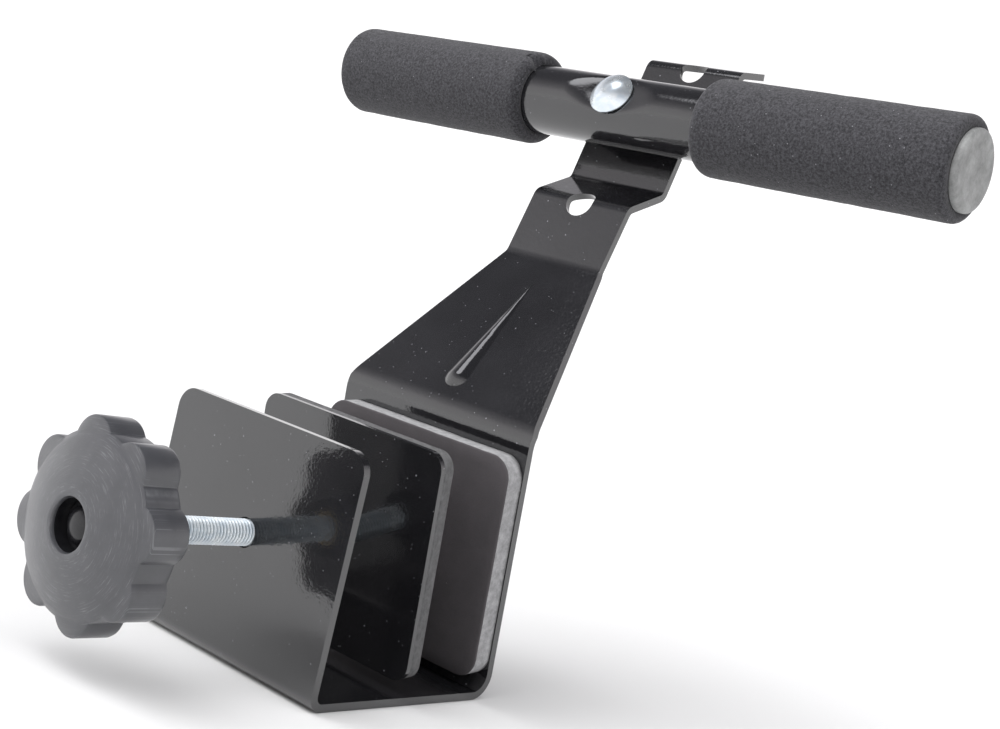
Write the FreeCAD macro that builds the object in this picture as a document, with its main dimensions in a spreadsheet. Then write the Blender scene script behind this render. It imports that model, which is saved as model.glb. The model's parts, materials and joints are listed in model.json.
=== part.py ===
"""Sit-up bar that clamps to a board: bent steel clamp with a stepped arm, padded cross bar and hand screw.

Frame: +Z up, +Y from the hand knob towards the arm, +X along the bar.  The origin is the middle of the
clamp's flat underside.  Sizes are cells of the Sizes sheet, and the places worked out from them are cells
of the Places sheet.
"""

import FreeCAD, Part
import Sketcher
import math
import os

SIZES = {
    # clamp frame, bent from one sheet
    "gauge": 3.0,
    "clamp_width": 100.0,
    "floor_length": 98.0,
    "front_height": 90.5,
    "front_lean": 2.0,
    "wall_lean": 7.5,
    "rear_length": 102.0,
    "panel_length": 83.0,
    "panel_slope": 36.3,
    "lower_riser_length": 30.3,
    "lower_riser_slope": 16.5,
    "tread_length": 23.5,
    "tread_slope": 25.0,
    "riser_length": 27.05,
    "riser_slope": 13.8,
    "end_tread_length": 21.5,
    "end_tread_slope": 12.0,
    "strip_width": 50.0,
    "tight_bend": 3.0,
    "rear_bend": 6.0,
    "soft_bend": 12.0,
    "wall_corner": 8.0,
    "tip_corner": 3.0,
    "crest_hole_dia": 13.0,
    "hole_slope": 67.0,
    "rib_start": 15.5,
    "rib_length": 54.0,
    "rib_width": 11.0,
    "rib_height": 2.5,
    "rib_tip_radius": 0.2,
    # cross tube and its grips
    "tube_dia": 30.0,
    "tube_wall": 1.5,
    "tube_length": 314.0,
    "bare_length": 91.0,
    "dent_depth": 3.0,
    "dent_sphere": 60.0,
    "foam_thickness": 5.25,
    "cap_flange": 3.0,
    "cap_overhang": 0.75,
    "cap_plug_length": 12.0,
    "cap_edge": 1.2,
    "cap_plug_chamfer": 1.0,
    # bar bolt, M8
    "bolt_dia": 7.9,
    "bolt_length": 50.0,
    "bolt_head_dia": 19.5,
    "bolt_dome": 4.5,
    "bolt_rim": 0.9,
    "bolt_chamfer": 0.8,
    "bolt_flat_dia": 5.0,
    "washer_dia": 16.0,
    "washer_thickness": 1.6,
    "lock_washer_dia": 14.0,
    "lock_washer_thickness": 2.0,
    "lock_washer_slit": 0.8,
    "nut_flats": 13.0,
    "nut_height": 6.5,
    "saddle_drop": 3.8,
    "saddle_width": 18.0,
    # hand screw, M10
    "screw_height": 48.2,
    "screw_dia": 9.85,
    "screw_chamfer": 1.0,
    "weld_nut_flats": 17.0,
    "weld_nut_height": 8.0,
    "knob_gap": 40.3,
    "tip_dia": 6.0,
    "tip_length": 7.5,
    "thrust_thickness": 1.5,
    "thrust_dia": 14.0,
    "swivel_gap": 1.5,
    "clip_thickness": 1.0,
    "clip_dia": 10.0,
    # knob
    "knob_hub_dia": 24.0,
    "knob_hub_length": 15.0,
    "knob_hub_flare": 1.5,
    "knob_disc_dia": 63.0,
    "knob_height": 21.0,
    "knob_dome": 79.6,
    "lobe_dia": 19.0,
    "lobe_circle": 26.5,
    "lobe_count": 8,
    "lobe_phase": 11.4,
    "insert_dia": 13.0,
    "insert_length": 23.0,
    "recess_dia": 17.5,
    "recess_depth": 8.0,
    "cap_dome_height": 5.0,
    "cap_rim": 1.0,
    # pressure plate and pads
    "plate_gauge": 2.0,
    "plate_width": 96.0,
    "plate_height": 87.0,
    "plate_corner": 7.0,
    "moving_pad_thickness": 5.0,
    "pad_socket_dia": 17.0,
    "pad_socket_depth": 4.2,
    "fixed_pad_width": 99.0,
    "fixed_pad_height": 88.0,
    "fixed_pad_thickness": 8.5,
    "fixed_pad_bottom": 5.0,
    "pad_bevel": 20.0,
    "pad_corner": 9.0,
    "jaw_gap": 29.5,
    # clearances
    "fit_gap": 0.05,
    "hole_gap": 0.6,
    "saddle_gap": 0.3,
    "clip_gap": 1.2,
    "pad_bend_gap": 0.3,
    "plate_floor_gap": 3.5,
    # how far a drill runs, half before its centre and half beyond
    "drill_length": 24.0,
}

# Worked-out places: y and z in the side view, in millimetres.
PLACES = {
    "front_y": "-Sizes.floor_length / 2",
    "wall_cut": "Sizes.gauge / cos(Sizes.front_lean)",
    "inner_front_y": "front_y + wall_cut - Sizes.gauge * tan(Sizes.front_lean)",
    "inner_rear_y": "Sizes.floor_length / 2 - Sizes.gauge * tan(Sizes.wall_lean)"
                    " - Sizes.gauge / cos(Sizes.wall_lean)",
    "shoulder_y": "inner_rear_y - Sizes.rear_length * sin(Sizes.wall_lean)",
    "shoulder_z": "Sizes.gauge + Sizes.rear_length * cos(Sizes.wall_lean)",
    "neck_y": "shoulder_y + Sizes.panel_length * sin(Sizes.panel_slope)",
    "neck_z": "shoulder_z + Sizes.panel_length * cos(Sizes.panel_slope)",
    "crest_y": "neck_y + Sizes.lower_riser_length * sin(Sizes.lower_riser_slope)",
    "crest_z": "neck_z + Sizes.lower_riser_length * cos(Sizes.lower_riser_slope)",
    "step_y": "Sizes.tread_length * cos(Sizes.tread_slope) + Sizes.riser_length * sin(Sizes.riser_slope)",
    "step_z": "Sizes.tread_length * sin(Sizes.tread_slope) + Sizes.riser_length * cos(Sizes.riser_slope)",
    # centre of the bend at a crest, from the crest's sharp corner
    "crest_turn": "90 - Sizes.riser_slope - Sizes.tread_slope",
    "bend_out": "Sizes.tight_bend + Sizes.gauge",
    "bend_reach": "bend_out / cos(crest_turn / 2)",
    "bend_slope": "Sizes.tread_slope + crest_turn / 2",
    "bend_dy": "bend_reach * sin(bend_slope)",
    "bend_dz": "-bend_reach * cos(bend_slope)",
    "seat_y": "crest_y + step_y + bend_dy",
    "seat_z": "crest_z + step_z + bend_dz",
    # bolt axis: the direction from the seat out through the tube
    "axis_y": "-sin(Sizes.hole_slope)",
    "axis_z": "cos(Sizes.hole_slope)",
    "tube_lift": "bend_out + Sizes.fit_gap + Sizes.tube_dia / 2",
    "tube_y": "seat_y + tube_lift * axis_y",
    "tube_z": "seat_z + tube_lift * axis_z",
    "grip_dia": "Sizes.tube_dia + 2 * Sizes.foam_thickness",
    "cap_dia": "Sizes.tube_dia + 2 * Sizes.cap_overhang",
    "dent_lift": "tube_lift + Sizes.tube_dia / 2 - Sizes.dent_depth + Sizes.dent_sphere",
    "head_lift": "dent_lift - sqrt(Sizes.dent_sphere ^ 2 - (Sizes.bolt_head_dia / 2) ^ 2) + Sizes.fit_gap",
    # jaw: where the screw's axis meets the middle of the pressure plate
    "wall_face_y": "inner_rear_y - (Sizes.screw_height - Sizes.gauge) * tan(Sizes.wall_lean)",
    "jaw_stack": "Sizes.fixed_pad_thickness + Sizes.jaw_gap + Sizes.moving_pad_thickness"
                 " + Sizes.plate_gauge / 2",
    "pivot_y": "wall_face_y - jaw_stack / cos(Sizes.wall_lean)",
    "screw_tip_y": "pivot_y - Sizes.plate_gauge / 2 - Sizes.swivel_gap - Sizes.thrust_thickness",
    "wall_at_screw_y": "front_y - Sizes.screw_height * tan(Sizes.front_lean)",
    "knob_y": "wall_at_screw_y - Sizes.knob_gap - Sizes.knob_hub_length",
    "recess_floor": "Sizes.knob_height - Sizes.recess_depth",
    # the plate's middle above the screw, and how far up the wall the rear bend keeps the fixed pad off
    "plate_rise": "Sizes.plate_height / 2 + Sizes.gauge + Sizes.plate_floor_gap - Sizes.screw_height",
    "bend_top": "Sizes.rear_bend * tan((90 + Sizes.wall_lean) / 2) + Sizes.pad_bend_gap",
    # sphere of the bolt's head, through its rim and the edge of its flat: centre height and radius
    "dome_centre": "((Sizes.bolt_flat_dia / 2) ^ 2 + Sizes.bolt_dome ^ 2 - (Sizes.bolt_head_dia / 2) ^ 2"
                   " - Sizes.bolt_rim ^ 2) / (2 * (Sizes.bolt_dome - Sizes.bolt_rim))",
    "dome_radius": "sqrt((Sizes.bolt_head_dia / 2) ^ 2 + (Sizes.bolt_rim - dome_centre) ^ 2)",
}

doc = FreeCAD.newDocument("SitUpBar")
parts = {}


def make_sheet(name, cells):
    """A spreadsheet with one named cell in each row."""
    sheet = doc.addObject("Spreadsheet::Sheet", name)
    for row, (alias, content) in enumerate(cells.items(), start=1):
        sheet.set(f"A{row}", alias)
        sheet.set(f"B{row}", content)
        sheet.setAlias(f"B{row}", alias)
    doc.recompute()
    return sheet


sizes = make_sheet("Sizes", {alias: str(value) for alias, value in SIZES.items()})
places = make_sheet("Places", {alias: "=" + formula for alias, formula in PLACES.items()})


def value_of(formula):
    """The number that a formula over the two sheets gives now."""
    result = places.evalExpression(formula)
    return float(getattr(result, "Value", result))


def keep(name, shape_object):
    """Marks an object as a finished sub-part, and names it."""
    shape_object.Label = name
    parts[name] = shape_object
    return shape_object


def place(shape_object, across="0", along="0", up="0", turn="0"):
    """Puts an object at a point, turned about X by an angle in degrees."""
    formula = f"placement(vector({across}; {along}; {up}); rotation(0; 0; {turn}))"
    shape_object.setExpression("Placement", formula)
    return shape_object


def primitive(kind, name, **formulas):
    """A Part primitive with its sizes bound to formulas."""
    shape_object = doc.addObject("Part::" + kind, name)
    for size, formula in formulas.items():
        shape_object.setExpression(size, formula)
    return shape_object


def cut(name, base, tool):
    """Base less tool."""
    result = doc.addObject("Part::Cut", name)
    result.Base, result.Tool = base, tool
    return result


def common(name, base, tool):
    """What base and tool share."""
    result = doc.addObject("Part::Common", name)
    result.Base, result.Tool = base, tool
    return result


def fuse(name, *shapes):
    """All the shapes as one solid."""
    result = doc.addObject("Part::MultiFuse", name)
    result.Shapes = list(shapes)
    return result


def sketch_on(body, name, role):
    """An empty sketch on one of the body's own origin planes."""
    sketch = body.newObject("Sketcher::SketchObject", name)
    plane = next(feature for feature in body.Origin.OriginFeatures if feature.Role == role)
    sketch.AttachmentSupport = (plane, [""])
    sketch.MapMode = "FlatFace"
    return sketch


def bound(sketch, constraint, formula):
    """Adds a sketch constraint whose value follows a formula."""
    number = sketch.addConstraint(constraint)
    sketch.setExpression(f"Constraints[{number}]", formula)


def closed_outline(sketch, points):
    """Straight edges through the points and back to the first, joined end to end."""
    corners = [FreeCAD.Vector(across, up, 0) for across, up in points]
    for start, end in zip(corners, corners[1:] + corners[:1]):
        sketch.addGeometry(Part.LineSegment(start, end))
    for edge in range(len(corners)):
        following = (edge + 1) % len(corners)
        sketch.addConstraint(Sketcher.Constraint("Coincident", edge, 2, following, 1))


def pinned_outline(sketch, formulas):
    """A closed outline with each corner held at the pair of formulas given for it."""
    points = [(value_of(across), value_of(up)) for across, up in formulas]
    closed_outline(sketch, points)
    for edge, ((across, up), (across_now, up_now)) in enumerate(zip(formulas, points)):
        bound(sketch, Sketcher.Constraint("DistanceX", -1, 1, edge, 1, across_now), across)
        bound(sketch, Sketcher.Constraint("DistanceY", -1, 1, edge, 1, up_now), up)


def pad(body, sketch, name, length, symmetric=False):
    """A pad of a sketch, up from its plane or to both sides."""
    feature = body.newObject("PartDesign::Pad", name)
    feature.Profile = sketch
    feature.SideType = "Symmetric" if symmetric else "One side"
    feature.setExpression("Length", length)
    doc.recompute()
    return feature


def turned(name, formulas):
    """A body turned about its own Z axis from a half section of radius and height formulas."""
    body = doc.addObject("PartDesign::Body", name)
    sketch = sketch_on(body, name + "_section", "XZ_Plane")
    pinned_outline(sketch, formulas)
    turn = body.newObject("PartDesign::Revolution", name + "_turn")
    turn.Profile = sketch
    turn.ReferenceAxis = (sketch, ["V_Axis"])
    turn.Angle = 360
    doc.recompute()
    return body


def rounded_edges(body, name, base, radius, wanted):
    """Rounds the edges of base for which wanted(edge) is true."""
    edges = [f"Edge{number}" for number, edge in enumerate(base.Shape.Edges, start=1) if wanted(edge)]
    rounding = body.newObject("PartDesign::Fillet", name)
    rounding.Base = (base, edges)
    rounding.setExpression("Radius", radius)
    doc.recompute()
    return rounding


def lies_along(edge, direction):
    """Whether an edge is straight and parallel to a direction."""
    if edge.Curve.TypeId != "Part::GeomLine":
        return False
    return abs(edge.Curve.Direction.dot(FreeCAD.Vector(*direction))) > 0.999


def rounded_bends(body, name, base, radius, spots):
    """Rounds the edges that run across the sheet through the given spots of its side view."""
    def at_a_spot(edge):
        middle = edge.CenterOfMass
        across = lies_along(edge, (1, 0, 0))
        return across and any(math.hypot(middle.y - y, middle.z - z) < 0.05 for y, z in spots)

    return rounded_edges(body, name, base, radius, at_a_spot)


# Clamp frame: the sheet's side view is a chain of straight runs, first along the face that looks into the
# clamp and up the arm, then back along the other face one gauge away.


def run_end(start, length, slope):
    """The end of a run that leans back from upright by slope degrees."""
    lean = math.radians(slope)
    return start[0] + length * math.sin(lean), start[1] + length * math.cos(lean)


def inner_face_corners():
    """Corners of the sheet's inner face, from the top of the front wall to the tip of the arm."""
    front_foot = (value_of("inner_front_y"), value_of("Sizes.gauge"))
    rear_foot = (value_of("inner_rear_y"), value_of("Sizes.gauge"))
    front_top = run_end(front_foot, value_of("(Sizes.front_height - Sizes.gauge) / cos(Sizes.front_lean)"),
                        -SIZES["front_lean"])
    corners = [front_top, front_foot, rear_foot]
    corners.append(run_end(corners[-1], SIZES["rear_length"], -SIZES["wall_lean"]))
    corners.append(run_end(corners[-1], SIZES["panel_length"], SIZES["panel_slope"]))
    corners.append(run_end(corners[-1], SIZES["lower_riser_length"], SIZES["lower_riser_slope"]))
    for _ in range(2):
        corners.append(run_end(corners[-1], SIZES["tread_length"], 90 - SIZES["tread_slope"]))
        corners.append(run_end(corners[-1], SIZES["riser_length"], SIZES["riser_slope"]))
    corners.append(run_end(corners[-1], SIZES["end_tread_length"], 90 - SIZES["end_tread_slope"]))
    return corners


def offset_corners(corners, distance):
    """The same chain moved square to each run by distance, to the right of its direction of travel."""
    normals = []
    for (y_from, z_from), (y_to, z_to) in zip(corners, corners[1:]):
        length = math.hypot(y_to - y_from, z_to - z_from)
        normals.append(((z_to - z_from) / length, -(y_to - y_from) / length))
    moved = []
    for number, (y, z) in enumerate(corners):
        before = normals[max(number - 1, 0)]
        after = normals[min(number, len(normals) - 1)]
        share = 1 + before[0] * after[0] + before[1] * after[1]
        moved.append((y + distance * (before[0] + after[0]) / share,
                      z + distance * (before[1] + after[1]) / share))
    return moved


def sheet_outline(sketch, inner):
    """The sheet's side view, with every run's length and slope and the gauge held by constraints."""
    outer = offset_corners(inner, SIZES["gauge"])
    closed_outline(sketch, inner + outer[::-1])
    runs = len(inner) - 1
    tip, top = runs, 2 * runs + 1
    lengths = ["Sizes.rear_length", "Sizes.panel_length", "Sizes.lower_riser_length", "Sizes.tread_length",
               "Sizes.riser_length", "Sizes.tread_length", "Sizes.riser_length", "Sizes.end_tread_length"]
    slopes = ["90 + Sizes.wall_lean", "90 - Sizes.panel_slope", "90 - Sizes.lower_riser_slope",
              "Sizes.tread_slope", "90 - Sizes.riser_slope", "Sizes.tread_slope", "90 - Sizes.riser_slope",
              "Sizes.end_tread_slope"]
    for point, formula in ((1, "inner_front_y"), (2, "inner_rear_y")):
        bound(sketch, Sketcher.Constraint("DistanceX", -1, 1, point, 1, inner[point][0]), "Places." + formula)
        bound(sketch, Sketcher.Constraint("DistanceY", -1, 1, point, 1, SIZES["gauge"]), "Sizes.gauge")
    bound(sketch, Sketcher.Constraint("DistanceY", -1, 1, 0, 1, inner[0][1]), "Sizes.front_height")
    bound(sketch, Sketcher.Constraint("DistanceX", -1, 1, 0, 1, inner[0][0]),
          "Places.inner_front_y - (Sizes.front_height - Sizes.gauge) * tan(Sizes.front_lean)")
    for run, (length, slope) in enumerate(zip(lengths, slopes), start=2):
        (y_from, z_from), (y_to, z_to) = inner[run], inner[run + 1]
        now = math.hypot(y_to - y_from, z_to - z_from)
        angle = math.atan2(z_to - z_from, y_to - y_from)
        bound(sketch, Sketcher.Constraint("Distance", run, 1, run, 2, now), length)
        bound(sketch, Sketcher.Constraint("Angle", run, angle), slope)
    for run in range(runs):
        back_run = 2 * runs - run
        sketch.addConstraint(Sketcher.Constraint("Parallel", run, back_run))
        bound(sketch, Sketcher.Constraint("Distance", back_run, 2, run, SIZES["gauge"]), "Sizes.gauge")
    sketch.addConstraint(Sketcher.Constraint("Perpendicular", tip, tip - 1))
    sketch.addConstraint(Sketcher.Constraint("Perpendicular", top, 0))


def bent_sheet():
    """The bent blank: side view padded to full width, the arm cut to its taper, bends and corners rounded."""
    body = doc.addObject("PartDesign::Body", "bent_sheet")
    inner = inner_face_corners()
    side = sketch_on(body, "side_view", "YZ_Plane")
    sheet_outline(side, inner)
    blank = pad(body, side, "blank", "Sizes.clamp_width", symmetric=True)

    # both sides of the arm are cut away above the shoulder, to a taper and then a parallel strip
    for name, way in (("right", ""), ("left", "-")):
        waste = sketch_on(body, name + "_waste", "XZ_Plane")
        beyond = way + "Sizes.clamp_width"
        above = "Places.crest_z + 4 * Places.step_z"
        pinned_outline(waste, [
            (way + "Sizes.clamp_width / 2", "Places.shoulder_z"),
            (way + "Sizes.strip_width / 2", "Places.neck_z"),
            (way + "Sizes.strip_width / 2", above), (beyond, above), (beyond, "Places.shoulder_z")])
        taper = body.newObject("PartDesign::Pocket", name + "_taper")
        taper.Profile = waste
        taper.Type = "ThroughAll"
        taper.SideType = "Symmetric"
        doc.recompute()

    outer = offset_corners(inner, SIZES["gauge"])
    hollow_on_inner_face = (1, 2, 4, 6, 8)
    base = body.Tip
    for kind, bends in (("tight", (1, 5, 6, 7, 8, 9)), ("rear", (2,)), ("soft", (3, 4))):
        hollows = [inner[bend] if bend in hollow_on_inner_face else outer[bend] for bend in bends]
        crowns = [outer[bend] if bend in hollow_on_inner_face else inner[bend] for bend in bends]
        base = rounded_bends(body, kind + "_hollows", base, f"Sizes.{kind}_bend", hollows)
        base = rounded_bends(body, kind + "_crowns", base, f"Sizes.{kind}_bend + Sizes.gauge", crowns)

    top = SIZES["front_height"]
    half = SIZES["clamp_width"] / 2
    base = rounded_edges(body, "wall_corners", base, "Sizes.wall_corner", lambda edge: (
        edge.Length < 2 * SIZES["gauge"] and abs(edge.CenterOfMass.z - top) < 1
        and abs(abs(edge.CenterOfMass.x) - half) < 0.1 and edge.CenterOfMass.y < 0))
    tip_y, tip_z = inner[-1]
    rounded_edges(body, "tip_corners", base, "Sizes.tip_corner", lambda edge: (
        edge.Length < 1.2 * SIZES["gauge"]
        and math.hypot(edge.CenterOfMass.y - tip_y, edge.CenterOfMass.z - tip_z) < SIZES["gauge"]))
    return body


def rib_shape(name, sink):
    """A blunt tapered rib along the panel, its ridge line sunk below the face by a formula."""
    radius = "((Sizes.rib_width / 2) ^ 2 + Sizes.rib_height ^ 2) / (2 * Sizes.rib_height)"
    depth = f"({radius} - Sizes.rib_height)"
    foot_y = f"Places.shoulder_y + Sizes.rib_start * sin(Sizes.panel_slope)" \
             f" + ({depth} + {sink}) * cos(Sizes.panel_slope)"
    foot_z = f"Places.shoulder_z + Sizes.rib_start * cos(Sizes.panel_slope)" \
             f" - ({depth} + {sink}) * sin(Sizes.panel_slope)"
    cone = primitive("Cone", name + "_taper", Radius1=radius, Radius2="Sizes.rib_tip_radius",
                     Height="Sizes.rib_length")
    place(cone, "0", foot_y, foot_z, f"atan({depth} / Sizes.rib_length) / 1 deg - Sizes.panel_slope")
    ball = place(primitive("Sphere", name + "_foot", Radius=radius), "0", foot_y, foot_z)
    return fuse(name, cone, ball)


def crest_holes():
    """One drill for each of the three crests, all on the same slope."""
    drills = []
    for number in range(3):
        drill = primitive("Cylinder", f"crest_drill_{number + 1}", Radius="Sizes.crest_hole_dia / 2",
                          Height="Sizes.drill_length")
        back = "Sizes.drill_length / 2"
        along = f"Places.crest_y + {number} * Places.step_y + Places.bend_dy - {back} * Places.axis_y"
        up = f"Places.crest_z + {number} * Places.step_z + Places.bend_dz - {back} * Places.axis_z"
        drills.append(place(drill, "0", along, up, "Sizes.hole_slope"))
    return drills


def clamp_frame():
    """The whole bent frame, with its pressed rib, crest holes and screw hole."""
    # only the half of the rib that stands out of the panel's face is added, rooted in half the sheet
    face_side = primitive("Box", "rib_limit", Length="2 * Sizes.rib_width", Width="2 * Sizes.rib_width",
                          Height="Sizes.panel_length")
    proud = "(2 * Sizes.rib_width - Sizes.gauge / 2)"
    place(face_side, "-Sizes.rib_width", f"Places.shoulder_y - {proud} * cos(Sizes.panel_slope)",
          f"Places.shoulder_z + {proud} * sin(Sizes.panel_slope)", "-Sizes.panel_slope")
    rib = common("rib", rib_shape("rib_press", "0"), face_side)
    ribbed = fuse("ribbed_sheet", bent_sheet(), rib)
    recess = rib_shape("rib_recess", "Sizes.gauge")
    screw_drill = primitive("Cylinder", "screw_drill", Radius="Sizes.screw_dia / 2 + Sizes.hole_gap",
                            Height="3 * Sizes.gauge")
    place(screw_drill, "0", "Places.wall_at_screw_y - Sizes.gauge", "Sizes.screw_height", "-90")
    tools = fuse("frame_cuts", recess, screw_drill, *crest_holes())
    keep("clamp_frame", cut("clamp_frame_cut", ribbed, tools))


def along_screw(shape_object, along):
    """Lays an upright primitive along the screw's axis, starting at a place along it."""
    return place(shape_object, "0", along, "Sizes.screw_height", "-90")


def ring(name, diameter, bore, height):
    """The disc and the bore of a plain ring, on its own Z axis."""
    disc = primitive("Cylinder", name + "_disc", Radius=f"({diameter}) / 2", Height=height)
    hole = primitive("Cylinder", name + "_bore", Radius=f"({bore}) / 2", Height=height)
    return disc, hole


def hexagon(name, flats, height):
    """A hexagonal prism on its own Z axis."""
    return primitive("Prism", name, Polygon="6", Circumradius=f"{flats} / 2 / cos(30)", Height=height)


def weld_nut():
    """Hexagonal nut welded square to the leaning front wall and threaded along the screw's axis."""
    block = hexagon("weld_nut_block", "Sizes.weld_nut_flats", "Sizes.weld_nut_height")
    place(block, "0", "Places.wall_at_screw_y + Places.wall_cut", "Sizes.screw_height",
          "-90 + Sizes.front_lean")
    thread = primitive("Cylinder", "weld_nut_thread", Radius="Sizes.screw_dia / 2 + Sizes.fit_gap",
                       Height="Sizes.weld_nut_height + Sizes.drill_length / 2")
    along_screw(thread, "Places.wall_at_screw_y")
    keep("weld_nut", cut("weld_nut_cut", block, thread))


def rounded_plate(name, width, height, thickness, corner, rise="0"):
    """A flat plate with rounded corners, on its own XY plane, with its middle raised along Y."""
    body = doc.addObject("PartDesign::Body", name + "_body")
    outline = sketch_on(body, name + "_outline", "XY_Plane")
    low, high = f"{rise} - {height} / 2", f"{rise} + {height} / 2"
    pinned_outline(outline, [(f"-{width} / 2", low), (f"{width} / 2", low),
                             (f"{width} / 2", high), (f"-{width} / 2", high)])
    slab = pad(body, outline, name + "_slab", thickness)
    rounded_edges(body, name + "_corners", slab, corner, lambda edge: lies_along(edge, (0, 0, 1)))
    return body


def on_wall_slope(shape_object, along, up, lift="0"):
    """Faces an upright plate to the front, parallel to the rear wall and lifted off its base plane."""
    return place(shape_object, "0", f"{along} - ({lift}) * cos(Sizes.wall_lean)",
                 f"{up} - ({lift}) * sin(Sizes.wall_lean)", "90 + Sizes.wall_lean")


def jaw():
    """Pressure plate with its pad, and the thicker pad on the rear wall."""
    plate = rounded_plate("pressure_plate", "Sizes.plate_width", "Sizes.plate_height", "Sizes.plate_gauge",
                          "Sizes.plate_corner", "Places.plate_rise")
    on_wall_slope(plate, "Places.pivot_y", "Sizes.screw_height", "-Sizes.plate_gauge / 2")
    plate_hole = primitive("Cylinder", "plate_hole", Radius="Sizes.tip_dia / 2 + Sizes.hole_gap",
                           Height="Sizes.drill_length")
    along_screw(plate_hole, "Places.pivot_y - Sizes.drill_length / 2")
    keep("pressure_plate", cut("pressure_plate_cut", plate, plate_hole))

    moving = rounded_plate("moving_pad", "Sizes.plate_width", "Sizes.plate_height",
                           "Sizes.moving_pad_thickness", "Sizes.plate_corner", "Places.plate_rise")
    on_wall_slope(moving, "Places.pivot_y", "Sizes.screw_height",
                  "-Sizes.plate_gauge / 2 - Sizes.moving_pad_thickness")
    socket = primitive("Cylinder", "moving_pad_socket", Radius="Sizes.pad_socket_dia / 2",
                       Height="Sizes.pad_socket_depth")
    on_wall_slope(socket, "Places.pivot_y", "Sizes.screw_height",
                  "-Sizes.plate_gauge / 2 - Sizes.pad_socket_depth")
    keep("moving_pad", cut("moving_pad_cut", moving, socket))

    fixed = rounded_plate("fixed_pad", "Sizes.fixed_pad_width", "Sizes.fixed_pad_height",
                          "Sizes.fixed_pad_thickness", "Sizes.pad_corner")
    middle = "(Sizes.fixed_pad_bottom + Sizes.fixed_pad_height / 2)"
    on_wall_slope(fixed, f"Places.inner_rear_y - {middle} * sin(Sizes.wall_lean)",
                  f"Sizes.gauge + {middle} * cos(Sizes.wall_lean)")

    # the pad's lower back edge is bevelled, so that it clears the bend at the foot of the wall
    bevel = primitive("Box", "fixed_pad_bevel", Length="Sizes.clamp_width", Width="Sizes.drill_length",
                      Height="Sizes.drill_length")
    turn = "(Sizes.wall_lean - Sizes.pad_bevel)"
    place(bevel, "-Sizes.clamp_width / 2",
          f"Places.inner_rear_y - Places.bend_top * sin(Sizes.wall_lean) + Sizes.drill_length * sin({turn})",
          f"Sizes.gauge + Places.bend_top * cos(Sizes.wall_lean) - Sizes.drill_length * cos({turn})", turn)
    keep("fixed_pad", cut("fixed_pad_cut", fixed, bevel))


def bar_frame(shape_object, lift="0"):
    """Stands an upright shape on the bolt's axis, at a distance outwards from the crest's bend centre."""
    return place(shape_object, "0", f"Places.seat_y + ({lift}) * Places.axis_y",
                 f"Places.seat_z + ({lift}) * Places.axis_z", "Sizes.hole_slope")


def lengthwise(name, radius, length, start):
    """A cylinder along X at the tube's axis."""
    rod = primitive("Cylinder", name, Radius=radius, Height=length)
    rod.setExpression("Placement",
                      f"placement(vector({start}; Places.tube_y; Places.tube_z); rotation(0; 90; 0))")
    return rod


def cross_tube():
    """Tube with a round dent pressed in at the bolt, its wall the same thickness all the way."""
    half = "Sizes.tube_length / 2"
    outside = lengthwise("tube_outside", "Sizes.tube_dia / 2", "Sizes.tube_length", f"-{half}")
    inside = lengthwise("tube_inside", "Sizes.tube_dia / 2 - Sizes.tube_wall", "Sizes.tube_length + 2",
                        f"-{half} - 1")
    press = bar_frame(primitive("Sphere", "dent_press", Radius="Sizes.dent_sphere"), "Places.dent_lift")
    anvil = bar_frame(primitive("Sphere", "dent_anvil", Radius="Sizes.dent_sphere + Sizes.tube_wall"),
                      "Places.dent_lift")
    void = cut("tube_void", inside, anvil)
    dented = cut("dented_tube", outside, press)
    drill = bar_frame(primitive("Cylinder", "bolt_drill", Radius="Sizes.bolt_dia / 2 + Sizes.hole_gap / 2",
                                Height="Sizes.tube_dia + Sizes.drill_length"),
                      "Places.tube_lift - (Sizes.tube_dia + Sizes.drill_length) / 2")
    keep("cross_tube", cut("cross_tube_cut", dented, fuse("tube_cuts", void, drill)))


def grips_and_caps():
    """A foam sleeve and a moulded end plug on each end of the tube."""
    grip_length = "(Sizes.tube_length - Sizes.bare_length) / 2"
    plug = "(Sizes.tube_dia / 2 - Sizes.tube_wall - Sizes.fit_gap)"
    for side, way in (("left", -1), ("right", 1)):
        inner_end = "Sizes.bare_length / 2" if way > 0 else "-Sizes.tube_length / 2"
        foam = lengthwise(side + "_foam", "Places.grip_dia / 2", grip_length, inner_end)
        bore = lengthwise(side + "_foam_bore", "Sizes.tube_dia / 2 + Sizes.fit_gap", grip_length, inner_end)
        keep(side + "_grip", cut(side + "_grip_cut", foam, bore))

        cap = turned(side + "_end_cap", [
            ("0", "-Sizes.cap_plug_length"),
            (f"{plug} - Sizes.cap_plug_chamfer", "-Sizes.cap_plug_length"),
            (plug, "Sizes.cap_plug_chamfer - Sizes.cap_plug_length"),
            (plug, "0"),
            ("Places.cap_dia / 2", "0"),
            ("Places.cap_dia / 2", "Sizes.cap_flange - Sizes.cap_edge"),
            ("Places.cap_dia / 2 - Sizes.cap_edge", "Sizes.cap_flange"),
            ("0", "Sizes.cap_flange")])
        cap.setExpression("Placement", f"placement(vector({way} * Sizes.tube_length / 2; Places.tube_y;"
                                       f" Places.tube_z); rotation(0; {way * 90}; 0))")
        keep(side + "_end_cap", cap)


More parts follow.
